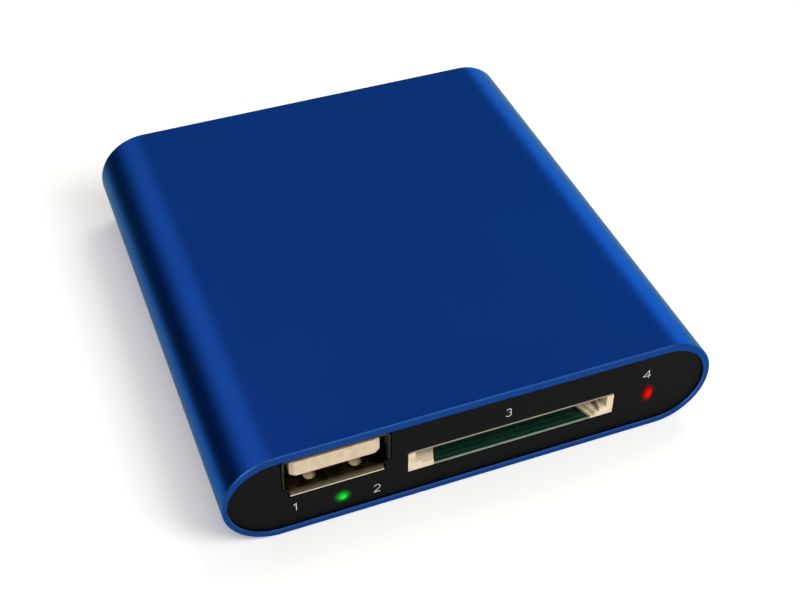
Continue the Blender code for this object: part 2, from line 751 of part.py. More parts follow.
def make_usb_insulator():
    shell_bottom = usb_z - USB_HEIGHT / 2
    block_half = usb_inner_height / 2 - RUN_GAP
    block_start = from_front(usb_rear - USB_BLOCK_DEPTH)
    rear_start = from_front(usb_rear + SEAT_GAP)
    rear_end = from_front(usb_rear + SEAT_GAP + USB_REAR_BLOCK)
    riser_start = from_front(panel_depth + SEAT_GAP)
    foot_start = riser_start + LIGHT_FLANGE + SEAT_GAP
    over_light = light_z + LIGHT_FLANGE_RADIUS + SEAT_GAP
    side_view = [(foot_start, part_bottom), (rear_end, part_bottom), (rear_end, usb_z + block_half),
                 (block_start, usb_z + block_half), (block_start, usb_z - block_half),
                 (rear_start, usb_z - block_half), (rear_start, shell_bottom - SEAT_GAP),
                 (riser_start, shell_bottom - SEAT_GAP), (riser_start, over_light),
                 (foot_start, over_light)]
    half_width = usb_inner_width / 2 - RUN_GAP
    insulator = piece("usb_insulator", cream_plastic, [side_view], "YZ",
                      usb_x - half_width, usb_x + half_width)

    def tongue(inset):
        return [rounded_rectangle(USB_TONGUE_WIDTH - 2 * inset, USB_TONGUE_HEIGHT,
                                  USB_TONGUE_CORNER, (usb_tongue_x, usb_tongue_z))]

    bm = bmesh.new()
    add_loft(bm, [(from_front(PANEL_RECESS + USB_TONGUE_SET_BACK), tongue(USB_TONGUE_BEVEL)),
                  (from_front(usb_contact_front()), tongue(0.0)),
                  (from_front(usb_rear - USB_BLOCK_DEPTH / 2), tongue(0.0))], "XZ")
    combine(insulator, bm, "UNION")

    bm = bmesh.new()
    for contact_x in usb_contact_places():
        half = USB_CONTACT_WIDTH / 2 + RUN_GAP
        low = usb_tongue_bottom - RUN_GAP
        high = usb_tongue_bottom + USB_CONTACT_SHEET + 2 * RUN_GAP
        add_prism(bm, [rectangle(contact_x - half, low, contact_x + half, high)], "XZ",
                  from_front(usb_contact_front() - RUN_GAP), rear_end + OVERRUN)
    combine(insulator, bm, "DIFFERENCE")


def usb_contact_places():
    steps = (-USB_CONTACT_OUTER, -USB_CONTACT_INNER, USB_CONTACT_INNER, USB_CONTACT_OUTER)
    return [usb_x + step for step in steps]


def usb_contact_front():
    """Depth at which the contacts start, where the bevels of the tongue's nose end."""
    return PANEL_RECESS + USB_TONGUE_SET_BACK + USB_TONGUE_BEVEL_DEPTH


def make_usb_contacts():
    arm_z = usb_tongue_bottom + RUN_GAP / 2 + USB_CONTACT_SHEET / 2
    drop_y = from_front(usb_rear + 2 * SEAT_GAP + USB_REAR_BLOCK + USB_CONTACT_SHEET / 2)
    foot_z = part_bottom + USB_CONTACT_SHEET / 2
    line = [(from_front(usb_contact_front()), arm_z), (drop_y, arm_z), (drop_y, foot_z),
            (drop_y + USB_CONTACT_WIDTH, foot_z)]
    outline = strip(bent(line, 2 * USB_CONTACT_SHEET), USB_CONTACT_SHEET)
    for number, contact_x in enumerate(usb_contact_places(), 1):
        piece(f"usb_contact_{number}", gold_metal, [outline], "YZ",
              contact_x - USB_CONTACT_WIDTH / 2, contact_x + USB_CONTACT_WIDTH / 2)


# Memory card socket
def make_sd_base():
    frame_end = from_front(sd_front + SD_MOUTH_FRAME)
    right = [(sd_x + SD_WIDTH / 2, from_front(sd_front)), (sd_x + SD_WIDTH / 2, frame_end),
             (sd_base_right, frame_end), (sd_base_right, from_front(sd_rear))]
    left = [(2 * sd_x - x, y) for x, y in reversed(right)]
    base = piece("sd_socket_base", cream_plastic, [right + left], "XY",
                 sd_bottom, sd_cover_bottom - SD_FIT_GAP)

    wall_right = sd_base_right - SD_WALL
    mouth = from_front(sd_front - OVERRUN)
    nose_end = from_front(sd_front + SD_NOSE_LENGTH)
    channel_end = from_front(sd_rear_inner)
    step_top = sd_floor_top + SD_STEP
    ledge_top = step_top + SD_LEDGE_RISE
    cut(base, [rectangle(card_left, mouth, wall_right, channel_end)], "XY", step_top,
        sd_top + OVERRUN)
    cut(base, [rectangle(card_left, from_front(sd_front + SD_STEP_LENGTH), card_right, channel_end)],
        "XY", sd_floor_top, step_top + SD_STEP)
    cut(base, [rectangle(card_right, nose_end, wall_right, channel_end)], "XY",
        sd_floor_top, step_top + SD_STEP)

    window_x = sd_x + SD_WINDOW_SHIFT
    window_start = from_front(sd_front + SD_SILL_DEPTH)
    window_end = from_front(sd_front + SD_SILL_DEPTH + SD_WINDOW_DEPTH)
    window_middle = (window_start + window_end) / 2
    front_half = SD_WINDOW_FRONT / 2
    rear_half = SD_WINDOW_REAR / 2
    middle_half = (front_half + rear_half) / 2
    window = [(window_x - front_half, window_start), (window_x + front_half, window_start),
              (window_x + rear_half, window_end), (window_x - rear_half, window_end)]
    cut(base, [window], "XY", sd_bottom - OVERRUN, step_top + OVERRUN)
    over_sill = [(window_x - front_half, mouth), (window_x + front_half, mouth),
                 (window_x + front_half, window_start), (window_x + rear_half, window_middle),
                 (window_x - rear_half, window_middle), (window_x - front_half, window_start)]
    cut(base, [over_sill], "XY", sd_bottom + SD_SILL_HEIGHT, step_top + OVERRUN)
    shelf = [(window_x, mouth), (window_x + front_half + SD_SHELF, mouth),
             (window_x + front_half + SD_SHELF, window_start),
             (window_x + middle_half + SD_SHELF, window_middle), (window_x, window_middle)]
    cut(base, [shelf], "XY", sd_floor_top, step_top + OVERRUN)

    join(base, [rectangle(card_left - SD_WALL / 2, from_front(sd_front), card_left + SD_LEDGE_WIDTH,
                          from_front(sd_front + SD_LEDGE_LENGTH))], "XY",
         sd_bottom + SD_FLOOR / 2, ledge_top)
    nose_left = wall_right - SD_NOSE_WIDTH
    join(base, [rectangle(nose_left, from_front(sd_front), wall_right + SD_WALL / 2, nose_end)],
         "XY", sd_bottom + SD_FLOOR / 2, ledge_top)
    for middle, start, top in ((nose_left, SD_POCKET_START, step_top),
                               (wall_right - SD_POCKET_WIDTH / 2, 2 * SD_POCKET_START, ledge_top)):
        pocket = [(middle, from_front(sd_front + start)), (middle + SD_POCKET_WIDTH / 2, nose_end),
                  (middle + SD_POCKET_WIDTH / 2, nose_end + OVERRUN),
                  (middle - SD_POCKET_WIDTH / 2, nose_end + OVERRUN),
                  (middle - SD_POCKET_WIDTH / 2, nose_end)]
        cut(base, [pocket], "XY", top - SD_POCKET_DEPTH, ledge_top + OVERRUN)

    bm = bmesh.new()
    for contact_x in pad_places():
        half = PAD_CONTACT_WIDTH / 2 + SD_FIT_GAP
        middle = pad_arm_z()
        reach = PAD_CONTACT_SHEET / 2 + SD_FIT_GAP
        add_prism(bm, [rectangle(contact_x - half, middle - reach, contact_x + half, middle + reach)],
                  "XZ", from_front(sd_rear_inner - OVERRUN), from_front(sd_rear + OVERRUN))
    for blade_x in switch_places():
        half = SWITCH_BLADE_SHEET / 2 + SD_FIT_GAP
        add_prism(bm, [rectangle(blade_x - half, switch_low() - SD_FIT_GAP, blade_x + half, sd_top)],
                  "XZ", from_front(sd_rear_inner - OVERRUN), from_front(sd_rear + OVERRUN))
    pin_room = CAM_SWING + PIN_RADIUS
    add_prism(bm, [rectangle(slider_x - pin_room, slider_top, slider_x + pin_room, sd_top)],
              "XZ", from_front(sd_rear_inner - OVERRUN), from_front(sd_rear + OVERRUN))
    combine(base, bm, "DIFFERENCE")
    cut(base, [circle((slider_x, from_front(pin_pivot)), PIN_RADIUS + RUN_GAP)], "XY",
        slider_top - PIN_PIVOT_DEPTH, sd_top)

    join(base, [circle((slider_x, spring_z), SPRING_PEG_RADIUS)], "XZ",
         from_front(sd_rear_inner - SPRING_PEG_LENGTH), from_front(sd_rear_inner + SPRING_PEG_ROOT))


def pad_places():
    """X of the card's contacts, from the one by the cut corner to the far side."""
    first = card_right - CARD_SLACK - PAD_EDGE
    places = [first - PAD_PITCH * index for index in range(8)]
    return places + [places[-1] - PAD_PITCH_LAST]


def pad_arm_z():
    return sd_floor_top + 2 * PAD_CONTACT_SHEET


def make_sd_contacts():
    arm_z = pad_arm_z()
    foot_z = part_bottom + PAD_CONTACT_SHEET / 2
    drop_y = from_front(sd_rear + SEAT_GAP + PAD_CONTACT_SHEET)
    crest_y = from_front(sd_rear_inner - PAD_CONTACT_REACH)
    line = [(crest_y - PAD_CONTACT_WIDTH, arm_z + PAD_CONTACT_SHEET),
            (crest_y, arm_z + PAD_CONTACT_CREST), (from_front(sd_rear_inner - PAD_CONTACT_WIDTH), arm_z),
            (drop_y, arm_z), (drop_y, foot_z), (drop_y + 2 * PAD_CONTACT_WIDTH, foot_z)]
    outline = strip(bent(line, PAD_CONTACT_SHEET, 2), PAD_CONTACT_SHEET)
    for number, contact_x in enumerate(pad_places(), 1):
        piece(f"sd_contact_{number}", gold_metal, [outline], "YZ",
              contact_x - PAD_CONTACT_WIDTH / 2, contact_x + PAD_CONTACT_WIDTH / 2)


def switch_places():
    """X of the blades that feel the card and its write lock, inside the left wall."""
    first = card_left + SWITCH_BLADE_OFFSET
    return [first + 2 * SWITCH_BLADE_OFFSET, first]


def switch_low():
    return (sd_floor_top + sd_cover_bottom) / 2 - SWITCH_BLADE_HEIGHT / 2


def make_switch_blades():
    names = ("card_detect_blade", "write_lock_blade")
    for name, blade_x, reach in zip(names, switch_places(), (CARD_SWITCH_REACH, LOCK_SWITCH_REACH)):
        outside = from_front(sd_rear + SEAT_GAP)
        wall = from_front(sd_rear_inner)
        line = [(blade_x, outside + SWITCH_BLADE_HEIGHT), (blade_x, wall - SWITCH_BLADE_HEIGHT),
                (blade_x, wall - reach), (blade_x + 2 * SWITCH_BLADE_OFFSET, wall - reach
                                          - SWITCH_BLADE_HEIGHT / 2),
                (blade_x, wall - reach - SWITCH_BLADE_HEIGHT)]
        outline = strip(line, SWITCH_BLADE_SHEET)
        blade = piece(name, gold_metal, [outline], "XY", switch_low(),
                      switch_low() + SWITCH_BLADE_HEIGHT)
        half = SWITCH_BLADE_SHEET / 2
        join(blade, [rectangle(blade_x - half, outside, blade_x + half,
                               outside + SWITCH_BLADE_HEIGHT)], "XY",
             part_bottom, switch_low() + SWITCH_BLADE_HEIGHT / 2)


def make_sd_cover():
    middle = SD_SHEET / 2
    left = sd_x - SD_WIDTH / 2 + middle
    right = sd_x + SD_WIDTH / 2 - middle
    line = [(left, sd_bottom), (left, sd_top - middle), (right, sd_top - middle), (right, sd_bottom)]
    outline = strip(bent(line, SD_SHEET), SD_SHEET)
    cover = piece("sd_socket_cover", bright_steel, [outline], "XZ",
                  from_front(sd_front), from_front(sd_rear))
    for side, base_edge in ((-1, sd_base_left), (1, sd_base_right)):
        xs = sorted((base_edge - side * SD_WALL / 2, base_edge + side * OVERRUN))
        cut(cover, [rectangle(xs[0], sd_bottom - OVERRUN, xs[1], sd_cover_bottom - SD_FIT_GAP / 2)],
            "XZ", from_front(sd_front - OVERRUN), from_front(sd_front + SD_MOUTH_FRAME + SD_FIT_GAP))
    inner = LEAF_WIDTH / 2
    outer = inner + LEAF_SLOT
    nose = from_front(pin_tip - LEAF_LENGTH / 2)
    back = from_front(pin_tip + LEAF_LENGTH / 2)
    slot = [(slider_x - outer, back), (slider_x - outer, nose - LEAF_SLOT),
            (slider_x + outer, nose - LEAF_SLOT), (slider_x + outer, back), (slider_x + inner, back),
            (slider_x + inner, nose), (slider_x - inner, nose), (slider_x - inner, back)]
    cut(cover, [slot], "XY", sd_cover_bottom - SD_FIT_GAP, sd_top + OVERRUN)


# Push-push ejector
CAM_PATH_SHARES = ((0.0, 0.0), (1.0, 1.0), (0.05, 0.8), (-1.0, 0.95), (-1.0, 0.35), (0.0, 0.0))


def cam_track(start, end):
    """The outline of one straight run of the groove, round at both ends."""
    along = Vector(end) - Vector(start)
    heading = math.atan2(along.y, along.x)
    radius = CAM_TRACK / 2
    first = arc(start, radius, heading + math.pi / 2, heading + 3 * math.pi / 2, CAM_STEPS)
    second = arc(end, radius, heading - math.pi / 2, heading + math.pi / 2, CAM_STEPS)
    return first + second


def make_slider():
    lug_start = slider_rear - SLIDER_LUG_LENGTH - SLIDER_LUG
    outline = [(slider_left, from_front(slider_front)), (slider_right, from_front(slider_front)),
               (slider_right, from_front(slider_rear)),
               (slider_left - SLIDER_LUG, from_front(slider_rear)),
               (slider_left - SLIDER_LUG, from_front(lug_start + SLIDER_LUG)),
               (slider_left, from_front(lug_start))]
    slider = piece("sd_eject_slider", cream_plastic, [outline], "XY", slider_bottom, slider_top,
                   (slider_x, from_front(slider_rear), slider_bottom))
    path = [(slider_x + CAM_SWING * across, from_front(pin_tip - EJECT_STROKE * along))
            for across, along in CAM_PATH_SHARES]
    for start, end in zip(path, path[1:]):
        cut(slider, [cam_track(start, end)], "XY", slider_top - CAM_DEPTH, slider_top + OVERRUN)
    trough = [(slider_x - SPRING_TROUGH_RADIUS, slider_bottom - OVERRUN),
              (slider_x + SPRING_TROUGH_RADIUS, slider_bottom - OVERRUN)]
    trough += arc((slider_x, spring_z), SPRING_TROUGH_RADIUS, 0.0, math.pi, CAM_STEPS)
    cut(slider, [trough], "XZ", from_front(spring_front), from_front(slider_rear + OVERRUN))


def make_cam_pin():
    x = slider_x
    pivot_y = from_front(pin_pivot)
    tip_y = from_front(pin_tip)
    tip_z = slider_top - CAM_DEPTH + RUN_GAP
    foot_z = slider_top - PIN_PIVOT_DEPTH + RUN_GAP
    line = [(tip_y, tip_z), (tip_y, pin_z), (pivot_y, pin_z), (pivot_y, foot_z)]
    points = [(x, y, z) for y, z in bent(line, PIN_BEND)]
    wire("sd_cam_pin", bright_steel, points, PIN_RADIUS, (x, pivot_y, pin_z), 2)


def make_spring():
    start = from_front(spring_front + SEAT_GAP)
    end = from_front(sd_rear_inner - SEAT_GAP)
    stub = 2 * SPRING_WIRE_RADIUS
    count = SPRING_TURNS * SPRING_POINTS_PER_TURN
    coil = []
    for step in range(count + 1):
        angle = math.tau * step / SPRING_POINTS_PER_TURN
        along = start + stub + (end - start - 2 * stub) * step / count
        coil.append((slider_x + SPRING_RADIUS * math.cos(angle), along,
                     spring_z + SPRING_RADIUS * math.sin(angle)))
    first = (coil[0][0], start, coil[0][2])
    last = (coil[-1][0], end, coil[-1][2])
    wire("sd_eject_spring", bright_steel, [first] + coil + [last], SPRING_WIRE_RADIUS,
         (slider_x, end, spring_z), 1)
    turn = SPRING_POINTS_PER_TURN
    least = min((Vector(coil[index]) - Vector(coil[index + turn])).length
                for index in range(count - turn + 1))
    print(f"spring: least gap between turns {least - 2 * SPRING_WIRE_RADIUS:.5f} m")


# Power light and infrared window
def make_power_light():
    flange_start = panel_depth + SEAT_GAP
    profile = [(0.0, 0.0), (LIGHT_RADIUS, 0.0),
               (LIGHT_RADIUS, flange_start - PANEL_RECESS),
               (LIGHT_FLANGE_RADIUS, flange_start - PANEL_RECESS),
               (LIGHT_FLANGE_RADIUS, flange_start + LIGHT_FLANGE - PANEL_RECESS),
               (0.0, flange_start + LIGHT_FLANGE - PANEL_RECESS)]
    bm = bmesh.new()
    add_turned(bm, profile, (light_x, from_front(PANEL_RECESS), light_z), (0, 1, 0))
    finish("power_light_pipe", bm, green_lens, (light_x, from_front(PANEL_RECESS), light_z))

    led_start = from_front(flange_start + LIGHT_FLANGE + SEAT_GAP)
    led_end = led_start + LED_DEPTH
    foot_top = board_bottom - SEAT_GAP
    low = foot_top - LED_FOOT
    half = LED_WIDTH / 2
    foot_half = LED_FOOT_WIDTH / 2
    view = [(light_x - foot_half, low), (light_x + foot_half, low), (light_x + foot_half, foot_top),
            (light_x + half, foot_top), (light_x + half, light_z + LED_HEIGHT / 2),
            (light_x - half, light_z + LED_HEIGHT / 2), (light_x - half, foot_top),
            (light_x - foot_half, foot_top)]
    piece("power_led", cream_plastic, [view], "XZ", led_start, led_end)


def ir_outline(edge):
    return upright(stadium(IR_HEIGHT + 2 * edge, IR_WIDTH + 2 * edge, (ir_z, ir_x), CAM_STEPS))


def make_ir_window():
    flange_start = from_front(panel_depth + SEAT_GAP)
    window = piece("ir_window", red_lens, [ir_outline(IR_FLANGE_EDGE)], "XZ", flange_start,
                   flange_start + IR_FLANGE, (ir_x, flange_start, ir_z))
    join(window, [ir_outline(0.0)], "XZ", from_front(PANEL_RECESS), flange_start + IR_FLANGE / 2)


def make_ir_receiver():
    dome_start = from_front(panel_depth + 2 * SEAT_GAP + IR_FLANGE)
    body_start = dome_start + IR_DOME_DEPTH
    half = IR_BODY_WIDTH / 2
    body = piece("ir_receiver", black_plastic,
                 [rectangle(ir_x - half, part_bottom, ir_x + half, part_bottom + IR_BODY_HEIGHT)],
                 "XZ", body_start, body_start + IR_BODY_DEPTH)
    steps = CAM_STEPS
    profile = [(0.0, 0.0)]
    for step in range(1, steps + 1):
        angle = math.pi / 2 * step / steps
        profile.append((IR_DOME_RADIUS * math.sin(angle), IR_DOME_DEPTH * (1 - math.cos(angle))))
    profile += [(IR_DOME_RADIUS, IR_DOME_DEPTH + IR_BODY_DEPTH / 2),
                (0.0, IR_DOME_DEPTH + IR_BODY_DEPTH / 2)]
    bm = bmesh.new()
    add_turned(bm, profile, (ir_x, dome_start, ir_z), (0, 1, 0))
    combine(body, bm, "UNION")


# Video port
def hdmi_outline():
    """The port's mouth, wide above and drawn in at its lower corners."""
    top = hdmi_z + HDMI_HEIGHT / 2
    bottom = hdmi_z - HDMI_HEIGHT / 2
    shoulder = top - HDMI_SHOULDER
    return [(hdmi_x - hdmi_lower_width / 2, bottom), (hdmi_x + hdmi_lower_width / 2, bottom),
            (hdmi_x + HDMI_WIDTH / 2, shoulder), (hdmi_x + HDMI_WIDTH / 2, top),
            (hdmi_x - HDMI_WIDTH / 2, top), (hdmi_x - HDMI_WIDTH / 2, shoulder)]


def make_video_port():
    mouth = PANEL_RECESS + PORT_SET_BACK
    end = mouth + HDMI_LENGTH
    outline = hdmi_outline()
    piece("hdmi_shell", bright_steel, [grown(outline, HDMI_SHEET), outline], "XZ",
          from_rear(end), from_rear(mouth))
    block = grown(outline, -RUN_GAP)
    insulator = piece("hdmi_insulator", black_plastic, [block], "XZ",
                      from_rear(end + SEAT_GAP + HDMI_REAR_BLOCK / 2), from_rear(end - HDMI_BLOCK_DEPTH))
    tongue = rectangle(hdmi_x - hdmi_tongue_width / 2, hdmi_z - HDMI_TONGUE_HEIGHT / 2,
                       hdmi_x + hdmi_tongue_width / 2, hdmi_z + HDMI_TONGUE_HEIGHT / 2)
    join(insulator, [tongue], "XZ", from_rear(end - HDMI_BLOCK_DEPTH / 2),
         from_rear(mouth + HDMI_TONGUE_SET_BACK))
    rear_block = rectangle(hdmi_x - HDMI_WIDTH / 2, part_bottom, hdmi_x + HDMI_WIDTH / 2,
                           hdmi_z + HDMI_HEIGHT / 2)
    join(insulator, [rear_block], "XZ", from_rear(end + SEAT_GAP + HDMI_REAR_BLOCK),
         from_rear(end + SEAT_GAP))


# Round jacks
def jack_profile(bore_profile):
    """A tool that bores a jack, from outside its mouth inwards."""
    return [(0.0, -OVERRUN), (bore_profile[0][0], -OVERRUN)] + bore_profile + [
        (0.0, bore_profile[-1][1])]


def make_jack(name, x, z, width, height, length, barrel_radius, bore_profile):
    mouth = from_rear(PANEL_RECESS + PORT_SET_BACK)
    body_start = from_rear(panel_depth + SEAT_GAP)
    jack = piece(name, black_plastic,
                 [rectangle(x - width / 2, z - height / 2, x + width / 2, z + height / 2)], "XZ",
                 body_start - length, body_start)
    join(jack, [circle((x, z), barrel_radius, ROUND_SIDES)], "XZ", body_start - length / 2, mouth)
    bm = bmesh.new()
    add_turned(bm, jack_profile(bore_profile), (x, mouth, z), (0, -1, 0))
    combine(jack, bm, "DIFFERENCE")


def make_round_jacks():
    mouth = from_rear(PANEL_RECESS + PORT_SET_BACK)
    set_in = panel_depth + SEAT_GAP - PANEL_RECESS - PORT_SET_BACK
    ring_room = AV_BORE_RADIUS + AV_RING_WALL + RUN_GAP
    bore = [(ring_room, AV_RING_LENGTH + RUN_GAP), (AV_BORE_RADIUS, AV_RING_LENGTH + RUN_GAP),
            (AV_BORE_RADIUS, set_in + AV_BODY_LENGTH - AV_BACK_WALL)]
    make_jack("av_jack_body", av_x, av_z, AV_BODY_WIDTH, AV_BODY_HEIGHT, AV_BODY_LENGTH,
              AV_BARREL_RADIUS, bore)
    ring = [(AV_BORE_RADIUS, 0.0), (AV_BORE_RADIUS + AV_RING_WALL, 0.0),
            (AV_BORE_RADIUS + AV_RING_WALL, AV_RING_LENGTH), (AV_BORE_RADIUS, AV_RING_LENGTH)]
    bm = bmesh.new()
    add_turned(bm, ring, (av_x, mouth, av_z), (0, -1, 0), ring=True)
    finish("av_jack_ring", bm, bright_steel, (av_x, mouth, av_z))

    depth = set_in + DC_BODY_LENGTH
    pin_hole = DC_PIN_RADIUS + RUN_GAP
    bore = [(DC_BORE_RADIUS, depth - DC_BACK_WALL), (pin_hole, depth - DC_BACK_WALL),
            (pin_hole, depth - RUN_GAP - DC_BACK_WALL / 2)]
    make_jack("dc_jack_body", dc_x, dc_z, DC_BODY_WIDTH, DC_BODY_HEIGHT, DC_BODY_LENGTH,
              DC_BARREL_RADIUS, bore)
    pin = [(0.0, DC_PIN_SET_BACK), (DC_PIN_RADIUS - RUN_GAP, DC_PIN_SET_BACK),
           (DC_PIN_RADIUS, DC_PIN_SET_BACK + 2 * RUN_GAP), (DC_PIN_RADIUS, depth - DC_BACK_WALL / 2
                                                           - 2 * RUN_GAP),
           (0.0, depth - DC_BACK_WALL / 2 - 2 * RUN_GAP)]
    bm = bmesh.new()
    add_turned(bm, pin, (dc_x, mouth, dc_z), (0, -1, 0), BORE_SIDES)
    finish("dc_jack_pin", bm, bright_steel, (dc_x, mouth, dc_z))


# Parts on the board
def make_chip(name, finish_material, place, size, bevel=CHIP_BEVEL):
    """A moulded block with bevelled top edges, just above the board."""
    width, length, height = size
    low = part_bottom
    top = low + height

    def outline(inset):
        return rectangle(place[0] - width / 2 + inset, place[1] - length / 2 + inset,
                         place[0] + width / 2 - inset, place[1] + length / 2 - inset)

    bm = bmesh.new()
    add_loft(bm, [(low, [outline(0.0)]), (top - bevel, [outline(0.0)]), (top, [outline(bevel)])],
             "XY")
    return finish(name, bm, finish_material, (place[0], place[1], low))


def add_legs(chip, place, size, count):
    """Flat legs along the two long sides of a chip, down to the board."""
    width, length, _ = size
    bm = bmesh.new()
    pitch = length / count
    for side in (-1, 1):
        inner = place[0] + side * (width / 2 - CHIP_LEG_WIDTH)
        outer = place[0] + side * (width / 2 + CHIP_LEG_REACH)
        low_x, high_x = sorted((inner, outer))
        for index in range(count):
            y = place[1] + pitch * (index - (count - 1) / 2)
            add_prism(bm, [rectangle(low_x, part_bottom, high_x, part_bottom + CHIP_BODY_RISE)],
                      "XZ", y - CHIP_LEG_WIDTH / 2, y + CHIP_LEG_WIDTH / 2)
    combine(chip, bm, "UNION")


def make_board_parts():
    socket_end = from_front(sd_rear + 2 * (SEAT_GAP + PAD_CONTACT_WIDTH))
    jack_start = from_rear(panel_depth + SEAT_GAP + AV_BODY_LENGTH)
    middle_y = (socket_end + jack_start) / 2
    make_chip("media_processor", black_plastic, (PROCESSOR_X, middle_y), PROCESSOR_SIZE)
    make_chip("memory_chip", black_plastic, (MEMORY_X, middle_y), MEMORY_SIZE)

    right_x = SLEEVE_WIDTH / 2 - RIGHT_COLUMN_FROM_RIGHT
    place = (right_x, middle_y - (COLUMN_SPACE + REGULATOR_SIZE[1]) / 2)
    regulator = make_chip("voltage_regulator", black_plastic, place, REGULATOR_SIZE)
    add_legs(regulator, place, REGULATOR_SIZE, 2)
    make_chip("crystal", bright_steel,
              (right_x, middle_y + (COLUMN_SPACE + CRYSTAL_SIZE[1]) / 2), CRYSTAL_SIZE)

    left_x = LEFT_COLUMN_FROM_LEFT - SLEEVE_WIDTH / 2
    for number in range(CAPACITOR_COUNT):
        make_capacitor(number, left_x)
    make_chip("power_inductor", dark_steel, (left_x, from_rear(INDUCTOR_FROM_REAR)),
              INDUCTOR_SIZE, 2 * CHIP_BEVEL)
    place = (left_x, from_rear(FLASH_FROM_REAR))
    flash = make_chip("flash_chip", black_plastic, place, FLASH_SIZE)
    add_legs(flash, place, FLASH_SIZE, 4)


def make_capacitor(number, x):
    """A round can on a square foot, with the pressed groove near its lower end."""
    y = from_front(CAPACITOR_FROM_FRONT + CAPACITOR_STEP * number)
    half = CAPACITOR_RADIUS
    foot = piece(f"capacitor_{number + 1}", bright_steel,
                 [rectangle(x - half, y - half, x + half, y + half)], "XY",
                 part_bottom, part_bottom + CAPACITOR_BASE, (x, y, part_bottom))
    radius = CAPACITOR_RADIUS - CAPACITOR_GROOVE
    groove_low = CAPACITOR_BASE + CAPACITOR_GROOVE
    profile = [(0.0, CAPACITOR_BASE / 2), (radius, CAPACITOR_BASE / 2), (radius, groove_low),
               (radius - CAPACITOR_GROOVE, groove_low + CAPACITOR_GROOVE),
               (radius, groove_low + 2 * CAPACITOR_GROOVE), (radius, CAPACITOR_HEIGHT - CAPACITOR_GROOVE),
               (radius - CAPACITOR_GROOVE, CAPACITOR_HEIGHT), (0.0, CAPACITOR_HEIGHT)]
    bm = bmesh.new()
    add_turned(bm, profile, (x, y, part_bottom), (0, 0, 1), BORE_SIDES)
    combine(foot, bm, "UNION")


for old in list(bpy.data.objects):
    bpy.data.objects.remove(old, do_unlink=True)

player = bpy.data.objects.new("media_player", None)
bpy.context.scene.collection.objects.link(player)

blue_metal = material("blue_anodised_aluminium", (0.05, 0.19, 0.46), 0.38, 1.0)
black_plastic = material("black_plastic", (0.10, 0.11, 0.10), 0.55)
cream_plastic = material("cream_plastic", (0.84, 0.77, 0.67), 0.5)
bright_steel = material("bright_steel", (0.78, 0.77, 0.74), 0.25, 1.0)
dark_steel = material("dark_steel", (0.16, 0.16, 0.17), 0.4, 0.8)
gold_metal = material("gold_plating", (0.90, 0.72, 0.36), 0.3, 1.0)
green_board = material("green_circuit_board", (0.06, 0.20, 0.14), 0.45)
green_lens = material("green_lens", (0.12, 0.86, 0.24), 0.2)
red_lens = material("red_lens", (0.88, 0.06, 0.09), 0.2)

make_sleeve()
make_front_panel()
make_rear_panel()
make_rear_screws()
make_board()
make_usb_shell()
make_usb_insulator()
make_usb_contacts()
make_sd_base()
make_sd_cover()
make_sd_contacts()
make_switch_blades()
make_slider()
make_cam_pin()
make_spring()
make_power_light()
make_ir_window()
make_ir_receiver()
make_video_port()
make_round_jacks()
make_board_parts()
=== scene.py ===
# %% [markdown]
# # A pocket media player, dressed for its picture
#
# This lesson takes the plain solids of a small media player and gives them the look of the real
# thing: a blue anodised sleeve, a black front panel with a USB port and a memory card slot, a
# green power light and a red infrared window. Each step names a piece of the player, says how it
# could be made in Blender, and says why it is made this way here.
#
# The solids come first, because every new piece takes its place from them.

# %% Load the player's solids
import math

import bmesh
import bpy
from mathutils import Matrix, Vector


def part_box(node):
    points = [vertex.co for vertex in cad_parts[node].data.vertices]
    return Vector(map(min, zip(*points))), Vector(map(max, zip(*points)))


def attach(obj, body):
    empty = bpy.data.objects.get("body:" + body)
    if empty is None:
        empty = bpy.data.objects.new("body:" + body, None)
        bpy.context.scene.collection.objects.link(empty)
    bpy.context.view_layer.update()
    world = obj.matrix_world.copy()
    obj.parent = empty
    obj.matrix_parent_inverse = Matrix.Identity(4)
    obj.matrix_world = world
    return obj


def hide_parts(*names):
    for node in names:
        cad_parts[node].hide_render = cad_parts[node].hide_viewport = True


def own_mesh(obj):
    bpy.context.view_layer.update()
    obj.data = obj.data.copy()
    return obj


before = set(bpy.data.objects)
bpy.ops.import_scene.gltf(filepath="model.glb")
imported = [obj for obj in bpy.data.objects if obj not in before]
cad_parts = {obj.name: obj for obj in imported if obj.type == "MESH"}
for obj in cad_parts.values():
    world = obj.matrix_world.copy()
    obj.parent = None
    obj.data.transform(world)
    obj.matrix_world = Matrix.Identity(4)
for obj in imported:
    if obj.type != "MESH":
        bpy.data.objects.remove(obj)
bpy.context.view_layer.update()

# %% [markdown]
# ## Camera
#
# The photograph looks down on the player's left front corner from about twenty centimetres away.
# A camera can be aimed with a Track To constraint, but the picture here is also turned by a
# fraction of a degree. Writing down the camera's own three axes keeps that turn, so the edges of
# the sleeve fall where they do in the photograph.

# %% Set up the camera
CAMERA_PLACE = Vector((-0.048031, -0.131225, 0.129696))
CAMERA_RIGHT = Vector((0.93360, -0.35830, 0.00281))
CAMERA_UP = Vector((0.24193, 0.63614, 0.73266))
CAMERA_LENS = 59.66
CAMERA_SENSOR = 36.0
CAMERA_NEAREST = 0.005


def put_in_scene(name, data):
    """An object for this data, in the scene."""
    made = bpy.data.objects.new(name, data)
    bpy.context.scene.collection.objects.link(made)
    return made


